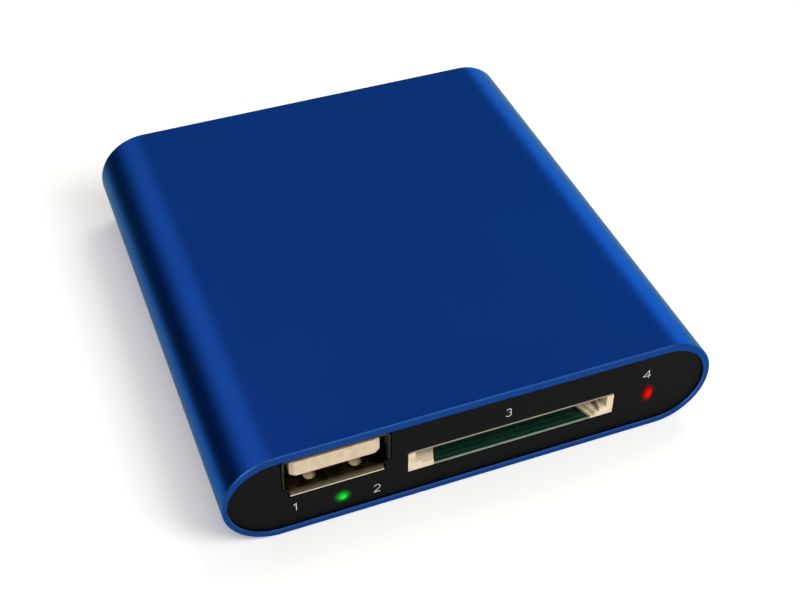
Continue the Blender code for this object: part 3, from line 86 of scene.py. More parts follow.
camera_back = CAMERA_RIGHT.cross(CAMERA_UP)
camera_axes = Matrix((CAMERA_RIGHT, CAMERA_UP, camera_back)).transposed()
camera = put_in_scene("camera", bpy.data.cameras.new("camera"))
camera.data.lens = CAMERA_LENS
camera.data.sensor_width = CAMERA_SENSOR
camera.data.clip_start = CAMERA_NEAREST
camera.matrix_world = Matrix.Translation(CAMERA_PLACE) @ camera_axes.to_4x4()
bpy.context.scene.camera = camera
bpy.context.scene.view_settings.view_transform = "Standard"
print("camera height:", round(math.degrees(math.asin(camera_back.z)), 1), "degrees")

# %% [markdown]
# ## Helpers for node materials
#
# Every finish below is a small tree of nodes. Three of them come back each time: a noise that
# stands for grain, a ramp that turns the noise into colours, and a bump that turns it into
# relief. Object coordinates are in metres, so a grain of a tenth of a millimetre needs a noise
# scale of about ten thousand. A helper that takes the grain's size in metres is easier to read.

# %% Helpers that build node trees
def screen_colour(red, green, blue):
    """A colour written as on a screen, 0 to 255, as the linear values that shaders use."""
    values = [channel / 255 for channel in (red, green, blue)]
    linear = [v / 12.92 if v <= 0.04045 else ((v + 0.055) / 1.055) ** 2.4 for v in values]
    return (*linear, 1.0)


def set_inputs(node, settings):
    """Fill a node's inputs by their names."""
    for name, value in settings.items():
        node.inputs[name].default_value = value


def new_finish(name, roughness, metallic=0.0):
    """A material with a Principled shader, its tree and the shader."""
    made = bpy.data.materials.new(name)
    made.use_nodes = True
    shader = made.node_tree.nodes["Principled BSDF"]
    set_inputs(shader, {"Roughness": roughness, "Metallic": metallic})
    return made, made.node_tree, shader


def object_point(tree):
    """The point's place in the object's own frame, in metres."""
    return tree.nodes.new("ShaderNodeTexCoord").outputs["Object"]


def grain(tree, size, detail=2.0, stretch=(1.0, 1.0, 1.0)):
    """Noise whose spots are about this large in metres, stretched along an axis if wanted."""
    spread = tree.nodes.new("ShaderNodeMapping")
    set_inputs(spread, {"Scale": [1.0 / value for value in stretch]})
    noise = tree.nodes.new("ShaderNodeTexNoise")
    set_inputs(noise, {"Scale": 1.0 / size, "Detail": detail})
    tree.links.new(object_point(tree), spread.inputs["Vector"])
    tree.links.new(spread.outputs["Vector"], noise.inputs["Vector"])
    return noise.outputs["Fac"]


def ramp(tree, value, stops):
    """Colours spread over a value from 0 to 1."""
    made = tree.nodes.new("ShaderNodeValToRGB")
    elements = made.color_ramp.elements
    while len(elements) < len(stops):
        elements.new(0.5)
    for element, (position, colour) in zip(elements, stops):
        element.position = position
        element.color = colour
    tree.links.new(value, made.inputs["Fac"])
    return made.outputs["Color"]


def mapped(tree, value, start, end, low=0.0, high=1.0):
    """The value moved from one range to another, and held at its limits."""
    made = tree.nodes.new("ShaderNodeMapRange")
    set_inputs(made, {"From Min": start, "From Max": end, "To Min": low, "To Max": high})
    tree.links.new(value, made.inputs["Value"])
    return made.outputs["Result"]


NOISE_LOW, NOISE_HIGH = 0.3, 0.7


def between(tree, value, low, high):
    """Noise, which mostly lies from 0.3 to 0.7, spread from low to high."""
    return mapped(tree, value, NOISE_LOW, NOISE_HIGH, low, high)


def relief(tree, shader, value, height):
    """Make a value stand out of the surface by this many metres."""
    made = tree.nodes.new("ShaderNodeBump")
    set_inputs(made, {"Distance": height, "Strength": 1.0})
    tree.links.new(value, made.inputs["Height"])
    tree.links.new(made.outputs["Normal"], shader.inputs["Normal"])


DARK_STOP, LIGHT_STOP = 0.35, 0.65


def tones(tree, value, dark, light):
    """Noise turned into a colour between two screen colours."""
    return ramp(tree, value, [(DARK_STOP, screen_colour(*dark)),
                              (LIGHT_STOP, screen_colour(*light))])


print("helpers ready: grain, ramp, mapped, between, relief, tones")

# %% [markdown]
# Some finishes change from place to place: bright where a plug rubs, tinted where a wall is
# thin. For these, a coordinate or a normal is turned into a share from 0 to 1, and two colours
# are mixed by it. The object's own coordinates are used, so the change stays where it belongs
# from every side.

# %% Helpers that place a finish
def split(tree, vector):
    """The x, y and z of a vector."""
    made = tree.nodes.new("ShaderNodeSeparateXYZ")
    tree.links.new(vector, made.inputs["Vector"])
    return made.outputs


def maths(tree, operation, *values):
    """One step of arithmetic on values of the tree."""
    made = tree.nodes.new("ShaderNodeMath")
    made.operation = operation
    for value, socket in zip(values, made.inputs):
        tree.links.new(value, socket)
    return made.outputs["Value"]


def mixed(tree, factor, below, above):
    """Two colours mixed by a share."""
    made = tree.nodes.new("ShaderNodeMix")
    made.data_type = "RGBA"
    colours = [socket for socket in made.inputs if socket.type == "RGBA"]
    tree.links.new(factor, made.inputs[0])
    tree.links.new(below, colours[0])
    tree.links.new(above, colours[1])
    return [socket for socket in made.outputs if socket.type == "RGBA"][0]


print("helpers ready: split, maths, mixed")

# %% [markdown]
# Most finishes then follow one recipe. A fine grain leads the roughness and the relief, and two
# close tones follow the same grain, or wider clouds. One function holds the recipe, and each
# finish gives it a few numbers of its own.

# %% A helper for grained finishes
def grained_finish(name, metallic, spots, colours, rough, height=0.0, clouds=None, settings=None):
    """A finish from the size, detail and stretch of its spots, two screen colours, the limits
    of its roughness, and the height of its relief in metres."""
    smoothest, roughest = rough
    made, tree, shader = new_finish(name, smoothest, metallic)
    marks = grain(tree, *spots)
    tone = tones(tree, grain(tree, *clouds) if clouds else marks, *colours)
    tree.links.new(tone, shader.inputs["Base Color"])
    if roughest > smoothest:
        tree.links.new(between(tree, marks, smoothest, roughest), shader.inputs["Roughness"])
    if height:
        relief(tree, shader, marks, height)
    set_inputs(shader, settings or {})
    return made


print("helper ready: grained_finish")

# %% [markdown]
# ## Anodised blue aluminium
#
# The sleeve is extruded aluminium, blasted with fine beads and dyed blue as its oxide layer
# grows. What shows is metal through a coloured, satin skin: reflections are soft and blue, and
# near the edge of a curve they turn paler. A plain blue paint would keep one colour all round.
# So the shader is metallic, with a rough blue base, a paler edge tint, and a grain so fine that
# it only softens the light. The cut rim and its two chamfers are dyed with the rest, and each has
# tones of its own. The two chamfers are lighter than the sleeve: a painted highlight, so that
# they show as light lines along the edges. The rim face is greyer and darker than the sleeve.

# %% Finish: anodised blue aluminium
SLEEVE_TINT = screen_colour(172, 202, 180)
CUT_TINT = screen_colour(170, 205, 240)
# The chamfers' lighter tones are a painted highlight along the cut edges.
CUT_FINISHES = {"rim_blue": (((24, 60, 125), (29, 66, 134)), (0.24, 0.3)),
                "outer_chamfer_highlight_blue": (((44, 88, 160), (50, 94, 168)), (0.36, 0.44)),
                "inner_chamfer_highlight_blue": (((46, 78, 134), (52, 84, 142)), (0.36, 0.44))}

sleeve_blue = grained_finish(
    "anodised_blue", 1.0, (0.00009, 2.0), ((16, 74, 177), (18, 77, 182)), (0.31, 0.37), 0.0000012,
    clouds=(0.018, 3.0),
    settings={"Specular Tint": SLEEVE_TINT, "Coat Weight": 0.08, "Coat Roughness": 0.3})
cut_blues = [grained_finish(name, 1.0, (0.00012, 2.0), colours, rough, 0.0000006,
                            settings={"Specular Tint": CUT_TINT})
             for name, (colours, rough) in CUT_FINISHES.items()]
print("finishes:", sleeve_blue.name, *CUT_FINISHES)

# %% [markdown]
# ## Plastics
#
# Three plastics show: the matt black panel, the cream mouldings inside both ports, and the black
# housings of the rear jacks and chips. Moulded plastic is never one flat colour. The mould
# leaves a fine grain, and thick and thin places differ a little in tone.

# %% Finish: plastics
CREAM_CLOUDS = (0.0011, 4.0)


def cream_moulding(name, dark, light):
    return grained_finish(name, 0.0, (0.0001, 2.0), (dark, light), (0.42, 0.56), 0.000002,
                          clouds=CREAM_CLOUDS)


panel_black = grained_finish(
    "black_panel_plastic", 0.0, (0.00012, 3.0), ((12, 14, 13), (17, 18, 17)), (0.55, 0.7), 0.000002,
    settings={"Specular IOR Level": 0.045})
housing_black = grained_finish(
    "housing_plastic", 0.0, (0.00015, 3.0), ((24, 24, 26), (34, 34, 36)), (0.5, 0.5), 0.000003,
    settings={"Specular IOR Level": 0.4})
cream = cream_moulding("cream_moulding", (208, 188, 154), (222, 201, 172))
socket_cream = cream_moulding("socket_cream", (220, 203, 168), (242, 224, 196))
print("finishes:", panel_black.name, housing_black.name, cream.name, socket_cream.name)

# %% [markdown]
# The card socket's sill is so thin that the board shows through it as a grey-green. Painting it
# as a piece of its own would leave a seam, so the greener tone is laid on the cream by place:
# between two sides, below the sill's top and before its back.

# %% Tint the socket's sill
SILL_MIDDLE = 0.00513
SILL_HALF_WIDTH = 0.01075
SILL_HEIGHT = 0.00025
SILL_DEPTH = 0.00015
SILL_FADE = 0.00004
SILL_TONES = ((118, 132, 118), (140, 154, 138))

sill_left, sill_right = SILL_MIDDLE - SILL_HALF_WIDTH, SILL_MIDDLE + SILL_HALF_WIDTH


def tint_sill(finish, top, back):
    tree = finish.node_tree
    colour = tree.nodes["Principled BSDF"].inputs["Base Color"]
    place = split(tree, object_point(tree))
    thin = mapped(tree, place["X"], sill_left - SILL_FADE, sill_left + SILL_FADE)
    for value, outside, inside in ((place["X"], sill_right + SILL_FADE, sill_right - SILL_FADE),
                                   (place["Z"], top + SILL_FADE, top),
                                   (place["Y"], back + SILL_FADE, back)):
        thin = maths(tree, "MULTIPLY", thin, mapped(tree, value, outside, inside))
    cream_tone = colour.links[0].from_socket
    green_tone = tones(tree, grain(tree, *CREAM_CLOUDS), *SILL_TONES)
    tree.links.new(mixed(tree, thin, cream_tone, green_tone), colour)


socket_low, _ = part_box("sd_socket_base")
tint_sill(socket_cream, socket_low.z + SILL_HEIGHT, socket_low.y + SILL_DEPTH)
print("sill tinted from", round(sill_left, 5), "to", round(sill_right, 5))

# %% [markdown]
# ## Metals
#
# Tin-plated steel makes the video port's shell, the cans and the spring. Rollers leave faint
# lines along such steel, so its noise is stretched. The contacts are gold-plated, and the
# screws and the inductor are blackened steel.

# %% Finish: metals
tin = grained_finish("tin_plate", 1.0, (0.00015, 3.0, (1.0, 12.0, 1.0)),
                     ((168, 163, 153), (205, 200, 190)), (0.24, 0.38), 0.0000015)
gold = grained_finish("gold_plate", 1.0, (0.0003, 3.0, (1.0, 4.0, 1.0)),
                      ((196, 152, 74), (232, 192, 108)), (0.2, 0.36))
screw_steel = grained_finish("black_steel", 1.0, (0.0002, 3.0), ((38, 38, 40), (62, 62, 64)),
                             (0.3, 0.46), 0.000002)
print("finishes:", tin.name, gold.name, screw_steel.name)

# %% [markdown]
# The sheet round the card and USB ports carries painted light. Its rolled faces are a dark brown
# that stands in for the dark they reflect inside the ports: painted shade. Where the sheet stands
# upright it is darker still, more painted shade, and its cut edges are dim, painted shade too,
# except where a light tone is laid on them: low on the USB shell a painted highlight, and on the
# card cover a tone of its own on every edge. A material for each face would need every face
# picked by hand. Here the edges are found by their normals, which point straight out of the
# port, and the height says where the edge tone goes.

# %% Finish: the sheet of the ports
# Painted shade: dark brown faces for the dark reflected inside the ports, darker uprights, dim
# edges.
PORT_FACES_PAINTED_SHADE = (98, 90, 69)
PORT_UPRIGHT_PAINTED_SHADE = (36, 34, 28)
EDGE_PAINTED_SHADE = (50, 48, 44)
COVER_EDGE = (160, 152, 140)
LINE_DIMMING = 0.93
UPRIGHT_LIMITS = (0.2, 0.6)
CUT_LIMITS = (-0.86, -0.95)
HIGHLIGHT_FADE = 0.0001
ABOVE_ALL = 1.0


def port_steel_painted_light(name, edge, highlight_below):
    """Sheet with painted shade on its faces, darker where upright, and on its cut edges, which take
    the given edge tone below this height.
    """
    made, tree, shader = new_finish(name, 0.26, 1.0)
    lines = grain(tree, 0.0004, 2.0, (3.0, 1.0, 1.0))
    face, upright_shade, shaded_edge, bright_edge = [
        ramp(tree, lines, [(NOISE_LOW, screen_colour(*[LINE_DIMMING * v for v in colour])),
                           (NOISE_HIGH, screen_colour(*colour))])
        for colour in (PORT_FACES_PAINTED_SHADE, PORT_UPRIGHT_PAINTED_SHADE, EDGE_PAINTED_SHADE, edge)]
    normal = split(tree, tree.nodes.new("ShaderNodeNewGeometry").outputs["Normal"])
    height = split(tree, object_point(tree))["Z"]
    upright = mapped(tree, maths(tree, "ABSOLUTE", normal["X"]), *UPRIGHT_LIMITS)
    sheet = mixed(tree, upright, face, upright_shade)
    # Cut edges below the height take the edge tone; on the USB shell this is a painted highlight.
    highlighted = mapped(tree, height, highlight_below + HIGHLIGHT_FADE, highlight_below)
    edge_tone = mixed(tree, highlighted, shaded_edge, bright_edge)
    cut = mapped(tree, normal["Y"], *CUT_LIMITS)
    tree.links.new(mixed(tree, cut, sheet, edge_tone), shader.inputs["Base Color"])
    tree.links.new(between(tree, lines, 0.24, 0.34), shader.inputs["Roughness"])
    relief(tree, shader, lines, 0.0000006)
    return made


cover_steel = port_steel_painted_light("cover_steel", COVER_EDGE, ABOVE_ALL)
print("finish:", cover_steel.name)

# %% [markdown]
# ## Circuit board
#
# A board is glass cloth under a green varnish, with copper tracks that show through it as
# slightly paler lines. The tracks run square to the board, so they are drawn with a brick
# texture: its joints make the straight runs and turns that a noise could never give.

# %% Finish: circuit board
def solder_mask():
    made, tree, shader = new_finish("solder_mask", 0.32)
    tracks = tree.nodes.new("ShaderNodeTexBrick")
    tracks.offset = 0.35
    set_inputs(tracks, {"Scale": 1.0, "Brick Width": 0.0034, "Row Height": 0.0009,
                        "Mortar Size": 0.00011, "Color1": screen_colour(15, 46, 34),
                        "Color2": screen_colour(18, 52, 39), "Mortar": screen_colour(25, 68, 50)})
    tree.links.new(object_point(tree), tracks.inputs["Vector"])
    tree.links.new(tracks.outputs["Color"], shader.inputs["Base Color"])
    cloth = grain(tree, 0.0004, 2.0)
    tree.links.new(between(tree, cloth, 0.26, 0.4), shader.inputs["Roughness"])
    relief(tree, shader, cloth, 0.000003)
    return made


board_green = solder_mask()
print("finish:", board_green.name)

# %% [markdown]
# ## Lights and painted glow
#
# Behind the green lens sits a light that is brightest in the middle and falls off to the rim.
# The glow round it on the panel is painted light: emission in the panel's own finish, not light
# cast by the lens. The red infrared window has only a receiver behind it, no lamp, so its glow,
# and the red round it on the panel, are painted light as well. Emission gives all of these. One
# strength all over would look like a painted dot, so the strength runs over the distance from
# the lens's own middle, on the lens and on the panel alike.

# %% Finish: glowing lenses and their painted glow on the panel
def glow_round(tree, middle, reach, colour, falloff):
    """A colour that fades with the distance from a middle, measured in these reaches."""
    away = tree.nodes.new("ShaderNodeMapping")
    set_inputs(away, {"Location": [-c / r for c, r in zip(middle, reach)],
                      "Scale": [1.0 / r for r in reach]})
    distance = tree.nodes.new("ShaderNodeVectorMath")
    distance.operation = "LENGTH"
    tree.links.new(object_point(tree), away.inputs["Vector"])
    tree.links.new(away.outputs["Vector"], distance.inputs[0])
    stops = [(position, (*[amount * channel for channel in colour], 1.0))
             for position, amount in falloff]
    return ramp(tree, distance.outputs["Value"], stops)


def glowing_lens(name, colour, middle, reach, falloff):
    """A lens that glows, brightest in its middle."""
    made, tree, shader = new_finish(name, 0.4)
    set_inputs(shader, {"Emission Strength": 1.0, "Specular IOR Level": 0.02,
                        "Base Color": [0.01 * channel for channel in colour] + [1.0]})
    tree.links.new(glow_round(tree, middle, reach, colour, falloff),
                   shader.inputs["Emission Color"])
    return made


def paint_glow_on_panel(finish, painted_glows):
    """Paint the glow of two lenses on the panel round them, as emission in the panel's own finish:
    painted light.
    """
    tree = finish.node_tree
    shader = tree.nodes["Principled BSDF"]
    total = tree.nodes.new("ShaderNodeVectorMath")
    total.operation = "ADD"
    for painted_glow, socket in zip(painted_glows, total.inputs):
        tree.links.new(glow_round(tree, *painted_glow), socket)
    tree.links.new(total.outputs["Vector"], shader.inputs["Emission Color"])
    set_inputs(shader, {"Emission Strength": 1.0})


def middle_of(node):
    """The middle of a solid's box."""
    low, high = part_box(node)
    return (low + high) / 2


light_middle = middle_of("power_light_pipe")
window_middle = middle_of("ir_window")
print("power light at", [round(v, 5) for v in light_middle])
print("infrared window at", [round(v, 5) for v in window_middle])

GREEN_LIGHT = (0.015, 1.0, 0.05)
GREEN_REACH = (0.0014, 0.01, 0.0014)
GREEN_FALLOFF = [(0.0, 0.93), (0.107, 0.87), (0.214, 0.72), (0.329, 0.5), (0.429, 0.28),
                 (0.55, 0.15), (0.657, 0.07), (0.771, 0.024), (0.88, 0.005), (1.0, 0.0)]
# The infrared window is no lamp: its red glow is painted light.
RED_PAINTED_GLOW = (1.0, 0.0, 0.001)
RED_REACH = (0.00108, 0.01, 0.00189)
RED_FALLOFF = [(0.0, 0.8), (0.25, 0.77), (0.41, 0.56), (0.54, 0.28), (0.67, 0.09),
               (0.83, 0.02), (1.0, 0.0)]
# Painted light: the glow round both lenses is emission in the panel's own finish.
paint_glow_on_panel(panel_black, [(light_middle, GREEN_REACH, GREEN_LIGHT, GREEN_FALLOFF),
                             (window_middle, RED_REACH, RED_PAINTED_GLOW, RED_FALLOFF)])

# %% [markdown]
# ## Helpers for meshes
#
# Most pieces of the player are outlines pushed along a line, so one loft does most of the work:
# it joins rings of points that all hold the same number. Cylinders and cubes joined by hand
# would leave hard, even edges, and edges are what the light picks out on a small object.

# %% Helpers that build meshes
def arc(centre, radius, start, end, steps):
    """Points of a round stretch, angles in radians."""
    return [(centre[0] + radius * math.cos(start + (end - start) * step / steps),
             centre[1] + radius * math.sin(start + (end - start) * step / steps))
            for step in range(steps + 1)]


def stadium(width, height, centre, steps):
    """A bar with full-round ends, lying along its first axis."""
    radius = height / 2
    reach = width / 2 - radius
    right = arc((centre[0] + reach, centre[1]), radius, -math.pi / 2, math.pi / 2, steps)
    left = arc((centre[0] - reach, centre[1]), radius, math.pi / 2, 3 * math.pi / 2, steps)
    return right + left


def add_rings(bm, rings, close=False):
    """Join rings of (x, y, z) points by bands of faces, and fill both ends. With close, the
    last ring is joined to the first instead."""
    loops = [[bm.verts.new(point) for point in ring] for ring in rings]
    pairs = list(zip(loops, loops[1:]))
    if close:
        pairs.append((loops[-1], loops[0]))
    bands = []
    for before, after in pairs:
        count = len(before)
        bands.append([bm.faces.new((before[i], before[(i + 1) % count],
                                    after[(i + 1) % count], after[i])) for i in range(count)])
    if not close:
        bm.faces.new(loops[0])
        bm.faces.new(loops[-1])
    return bands


def push(bm, outline, ends, axis):
    """Push a flat outline from one end to the other along axis 0, 1 or 2: x, y or z."""
    add_rings(bm, [[(*point[:axis], end, *point[axis:]) for point in outline] for end in ends])


def make_piece(name, bm, finishes, body="player", sharp=40):
    """Turn modelled faces into a shaded piece that rides on a body of the player."""
    bmesh.ops.recalc_face_normals(bm, faces=bm.faces)
    mesh = bpy.data.meshes.new(name)
    bm.to_mesh(mesh)
    bm.free()
    mesh.shade_smooth()
    mesh.set_sharp_from_angle(angle=math.radians(sharp))
    made = put_in_scene(name, mesh)
    for finish in finishes:
        mesh.materials.append(finish)
    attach(made, body)
    print(f"{name}: {len(mesh.polygons)} faces on {body}")
    return made


print("helpers ready: arc, stadium, add_rings, push, make_piece")

# %% [markdown]
# ## Sleeve
#
# The sleeve is one extruded tube with full-round ends. Its wall is uneven, as an extruded wall
# often is: thickest along the top, thinnest at the round ends. A Solidify modifier would make
# it even all round, so the inner outline is drawn by itself, as a bar with elliptic ends. The
# cut ends have a crisp chamfer outside, a smaller one inside, and a plain rim between them. The
# wall's section is walked round as a closed line, and each step of it becomes one ring.

# %% Make the sleeve
WALL_TOP = 0.00127
WALL_BOTTOM = 0.00096
WALL_END = 0.00078
OUTER_CHAMFER = 0.00013
INNER_CHAMFER = 0.00016
SLEEVE_END_STEPS = 64

sleeve_low, sleeve_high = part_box("sleeve")
sleeve_width = sleeve_high.x - sleeve_low.x
sleeve_height = sleeve_high.z - sleeve_low.z
sleeve_middle = (0.0, (sleeve_low.z + sleeve_high.z) / 2)


def sleeve_ring(y, inset):
    """The outer outline, drawn in by this much."""
    outline = stadium(sleeve_width - 2 * inset, sleeve_height - 2 * inset, sleeve_middle,
                      SLEEVE_END_STEPS)
    return [(x, y, z) for x, z in outline]


def inner_ring(y, grown):
    """The inner outline, grown by this much; its round ends are halves of an ellipse."""
    straight = (sleeve_width - sleeve_height) / 2
    reach = sleeve_height / 2 - WALL_END + grown
    rise = (sleeve_height - WALL_TOP - WALL_BOTTOM) / 2 + grown
    middle_z = sleeve_middle[1] + (WALL_BOTTOM - WALL_TOP) / 2
    unit = stadium(2.0, 2.0, (0.0, 0.0), SLEEVE_END_STEPS)
    half = len(unit) // 2
    return [(reach * x + (straight if index < half else -straight), y, middle_z + rise * z)
            for index, (x, z) in enumerate(unit)]


def end_rings(outwards, y):
    """Rings of one end, from the outer wall round to the inner one."""
    return [sleeve_ring(y + outwards * OUTER_CHAMFER, 0.0), sleeve_ring(y, OUTER_CHAMFER),
            inner_ring(y, INNER_CHAMFER), inner_ring(y + outwards * INNER_CHAMFER, 0.0)]


RIM, OUTER_CUT, INNER_CUT = 1, 2, 3
BAND_FINISHES = {0: OUTER_CUT, 1: RIM, 2: INNER_CUT, 4: INNER_CUT, 5: RIM, 6: OUTER_CUT}

bm = bmesh.new()
sleeve_rings = end_rings(-1, sleeve_high.y) + end_rings(1, sleeve_low.y)[::-1]
sleeve_bands = add_rings(bm, sleeve_rings, close=True)
for band, finish_number in BAND_FINISHES.items():
    for face in sleeve_bands[band]:
        face.material_index = finish_number

# %% [markdown]
# The board slides in on rails, and the screws bite into two slotted channels, each on a short
# web. All belong to the same extrusion. They are drawn as bars let into the wall, and take
# their heights from the board's own box, so the board still fits between them.

# %% Add the rails and screw channels
RAIL_HEIGHT = 0.0008
RAIL_GAP = 0.0003
LOWER_GRIP = 0.0015
UPPER_GRIP = 0.0009
CHANNEL_INSET = 0.0011
CHANNEL_RADIUS = 0.0021
CHANNEL_BORE = 0.0009
CHANNEL_SLOT = 0.0008
CHANNEL_START = 0.00175
CHANNEL_STEPS = 28
WEB_HALF = 0.0006
WEB_LAP = 0.0001

board_low, board_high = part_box("main_board")
channel_x = sleeve_width / 2 - CHANNEL_INSET - CHANNEL_RADIUS


def wall_x(height):
    """Half width of the sleeve at the middle of its wall's thickness."""
    radius = (sleeve_height - WALL_END) / 2
    rise = height - sleeve_middle[1]
    return (sleeve_width - sleeve_height) / 2 + math.sqrt(radius ** 2 - rise ** 2)


def rail(inner_x, low, high):
    heights = (low, (low + high) / 2, high)
    return [(inner_x, high), (inner_x, low)] + [(wall_x(height), height) for height in heights]


def channel():
    outer_gap = math.asin(CHANNEL_SLOT / 2 / CHANNEL_RADIUS)
    inner_gap = math.asin(CHANNEL_SLOT / 2 / CHANNEL_BORE)
    middle = (channel_x, sleeve_middle[1])
    outer = arc(middle, CHANNEL_RADIUS, -math.pi + outer_gap, math.pi - outer_gap, CHANNEL_STEPS)
    inner = arc(middle, CHANNEL_BORE, math.pi - inner_gap, -math.pi + inner_gap, CHANNEL_STEPS)
    return outer + inner


middle_z = sleeve_middle[1]
web_start = channel_x + CHANNEL_RADIUS - WEB_LAP
ribs = [rail(board_high.x - LOWER_GRIP, board_low.z - RAIL_GAP - RAIL_HEIGHT,
             board_low.z - RAIL_GAP),
        rail(board_high.x - UPPER_GRIP, board_high.z + RAIL_GAP, middle_z - CHANNEL_RADIUS / 2),
        channel(),
        [(web_start, middle_z + WEB_HALF), (web_start, middle_z - WEB_HALF),
         (wall_x(middle_z), middle_z - WEB_HALF), (wall_x(middle_z), middle_z + WEB_HALF)]]
rib_ends = (sleeve_low.y + CHANNEL_START, sleeve_high.y - CHANNEL_START)
for rib in ribs:
    push(bm, rib, rib_ends, 1)
    push(bm, [(-x, z) for x, z in reversed(rib)], rib_ends, 1)

sleeve = make_piece("sleeve_tube", bm, [sleeve_blue, *cut_blues], sharp=25)
sleeve.modifiers.new("weighted normals", "WEIGHTED_NORMAL").keep_sharp = True
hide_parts("sleeve")

# %% [markdown]
# ## Borders of the two panels
#
# Each panel fills the tube right up to its wall. The solid panels are plain bars, a little
# smaller than the uneven opening, so each gets a thin border of the same plastic: a ring whose
# outside follows the wall and whose inside laps over the panel by a hair. The lap hides the
# joint, and the moulded edge stays round.

# %% Make the panel borders
BORDER_LAP = 0.00008
BORDER_PROUD = 0.000008
BORDER_PLAY = 0.00004
BORDER_ROUND = 0.00004


def panel_border(name, node, outwards):
    """A ring round a panel; outwards is -1 at the front and 1 at the rear."""
    low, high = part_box(node)
    face = (low.y if outwards < 0 else high.y) + outwards * BORDER_PROUD
    back = high.y if outwards < 0 else low.y
    lap = stadium(high.x - low.x - 2 * BORDER_LAP, high.z - low.z - 2 * BORDER_LAP,
                  sleeve_middle, SLEEVE_END_STEPS)
    rings = [[(x, back, z) for x, z in lap], [(x, face, z) for x, z in lap],
             inner_ring(face, -BORDER_PLAY - BORDER_ROUND),
             inner_ring(face - outwards * BORDER_ROUND, -BORDER_PLAY),
             inner_ring(back, -BORDER_PLAY)]
    bm = bmesh.new()
    add_rings(bm, rings, close=True)
    make_piece(name, bm, [panel_black], sharp=25)


panel_border("front_panel_border", "front_panel", -1)
panel_border("rear_panel_border", "rear_panel", 1)

# %% [markdown]
# ## Softer edges on the solids
#
# Many of the solids already have the right shape and only need the tiny rounding that every
# moulded or stamped edge has. The solids themselves stay as they are: a Weld modifier closes
# the seams that the file format leaves between faces, and a Bevel modifier rounds what is
# sharp. Its hardened normals keep the flat faces flat.

# %% Round the edges of the carried-over solids
SEAM_GAP = 0.0000005
SHARP_FROM = math.radians(35)


def soften(name, finish, width, segments=2):
    """Give a solid its finish and rounded edges, without touching its own mesh."""
    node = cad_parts[name]
    for slot in node.material_slots:
        slot.link = "OBJECT"
        slot.material = finish
    if width:
        node.modifiers.new("weld", "WELD").merge_threshold = SEAM_GAP
        bevel = node.modifiers.new("rounded edges", "BEVEL")
        bevel.width = width
        bevel.segments = segments
        bevel.limit_method = "ANGLE"
        bevel.angle_limit = SHARP_FROM
        bevel.use_clamp_overlap = True
        bevel.harden_normals = True


contacts = [name for name in sorted(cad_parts)
            if name.startswith(("usb_contact", "sd_contact")) or name.endswith("blade")]
SOFT_EDGES = [
    (panel_black, 0.00004, ["front_panel", "rear_panel"]),
    (socket_cream, 0.00005, ["sd_socket_base"]),
    (cover_steel, 0.00003, ["sd_socket_cover"]),
    (cream, 0.00005, ["sd_eject_slider"]),
    (cream, 0.00006, ["power_led"]),
    (board_green, 0.00004, ["main_board"]),
    (housing_black, 0.00004, ["media_processor", "memory_chip", "flash_chip", "voltage_regulator"]),
    (housing_black, 0.00005, ["hdmi_insulator"]),
    (housing_black, 0.00006, ["av_jack_body", "dc_jack_body"]),
    (housing_black, 0.00008, ["ir_receiver"]),
    (tin, 0.0, ["sd_cam_pin"]),
    (tin, 0.00004, ["hdmi_shell"]),
    (tin, 0.00005, ["av_jack_ring", "dc_jack_pin", "capacitor_1", "capacitor_2", "capacitor_3"]),
    (gold, 0.00002, contacts),
    (screw_steel, 0.0001, ["power_inductor"])]
for finish, width, names in SOFT_EDGES:
    for name in names:
        soften(name, finish, width)
soften("usb_insulator", cream, 0.00012, 3)
soften("crystal", tin, 0.00012, 3)
print("rounded:", sum(1 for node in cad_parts.values() if node.modifiers))

# %% [markdown]
# ## USB port shell
#
# The shell of a USB port is folded from one sheet. Its front edges flare outwards in a short
# curve, so that a plug finds its way in, but the sheet is notched at the two lower corners,
# because a flare can't go round a tight bend. A Solidify modifier on a flared surface would
# give even walls everywhere. The real side lips are thinner at their edge, so the section of
# the wall is walked round instead, and every point of the outline carries its own share of the
# flare: 1 on the lips, almost 0 in the notched corners.

# %% Lay out the shell's outline
PORT_WIDTH = 0.0131
PORT_HEIGHT = 0.00572
PORT_CORNER = 0.0006
PORT_SHEET = 0.0003
PORT_LENGTH = 0.0136
LIP_SIDE = 0.000225
LIP_TOP = 0.00034
LIP_THINNED = 0.00014
LIP_DEPTH = 0.0006
LOWER_LIP_REACH = 0.00594
SIDE_LIP_FOOT = (-0.00195, -0.00145)
CORNER_SHARE = 0.08
CORNER_SET_BACK = 0.0004
CORNER_OUTSET = 0.00001
CORNER_STEPS = 8
FLOOR_STEPS = 8
FOOT_STEPS = 10
ROOF_STEPS = 6
SIDE_HEIGHTS = (-0.0007, 0.0, 0.0008, 0.0016)

port_low, port_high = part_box("usb_shell")
port_x = (port_low.x + port_high.x) / 2
port_z = port_high.z - LIP_TOP - PORT_HEIGHT / 2
port_front = port_low.y


def smooth(value):
    """A share from 0 to 1 that starts and ends gently."""
    return value * value * (3 - 2 * value)


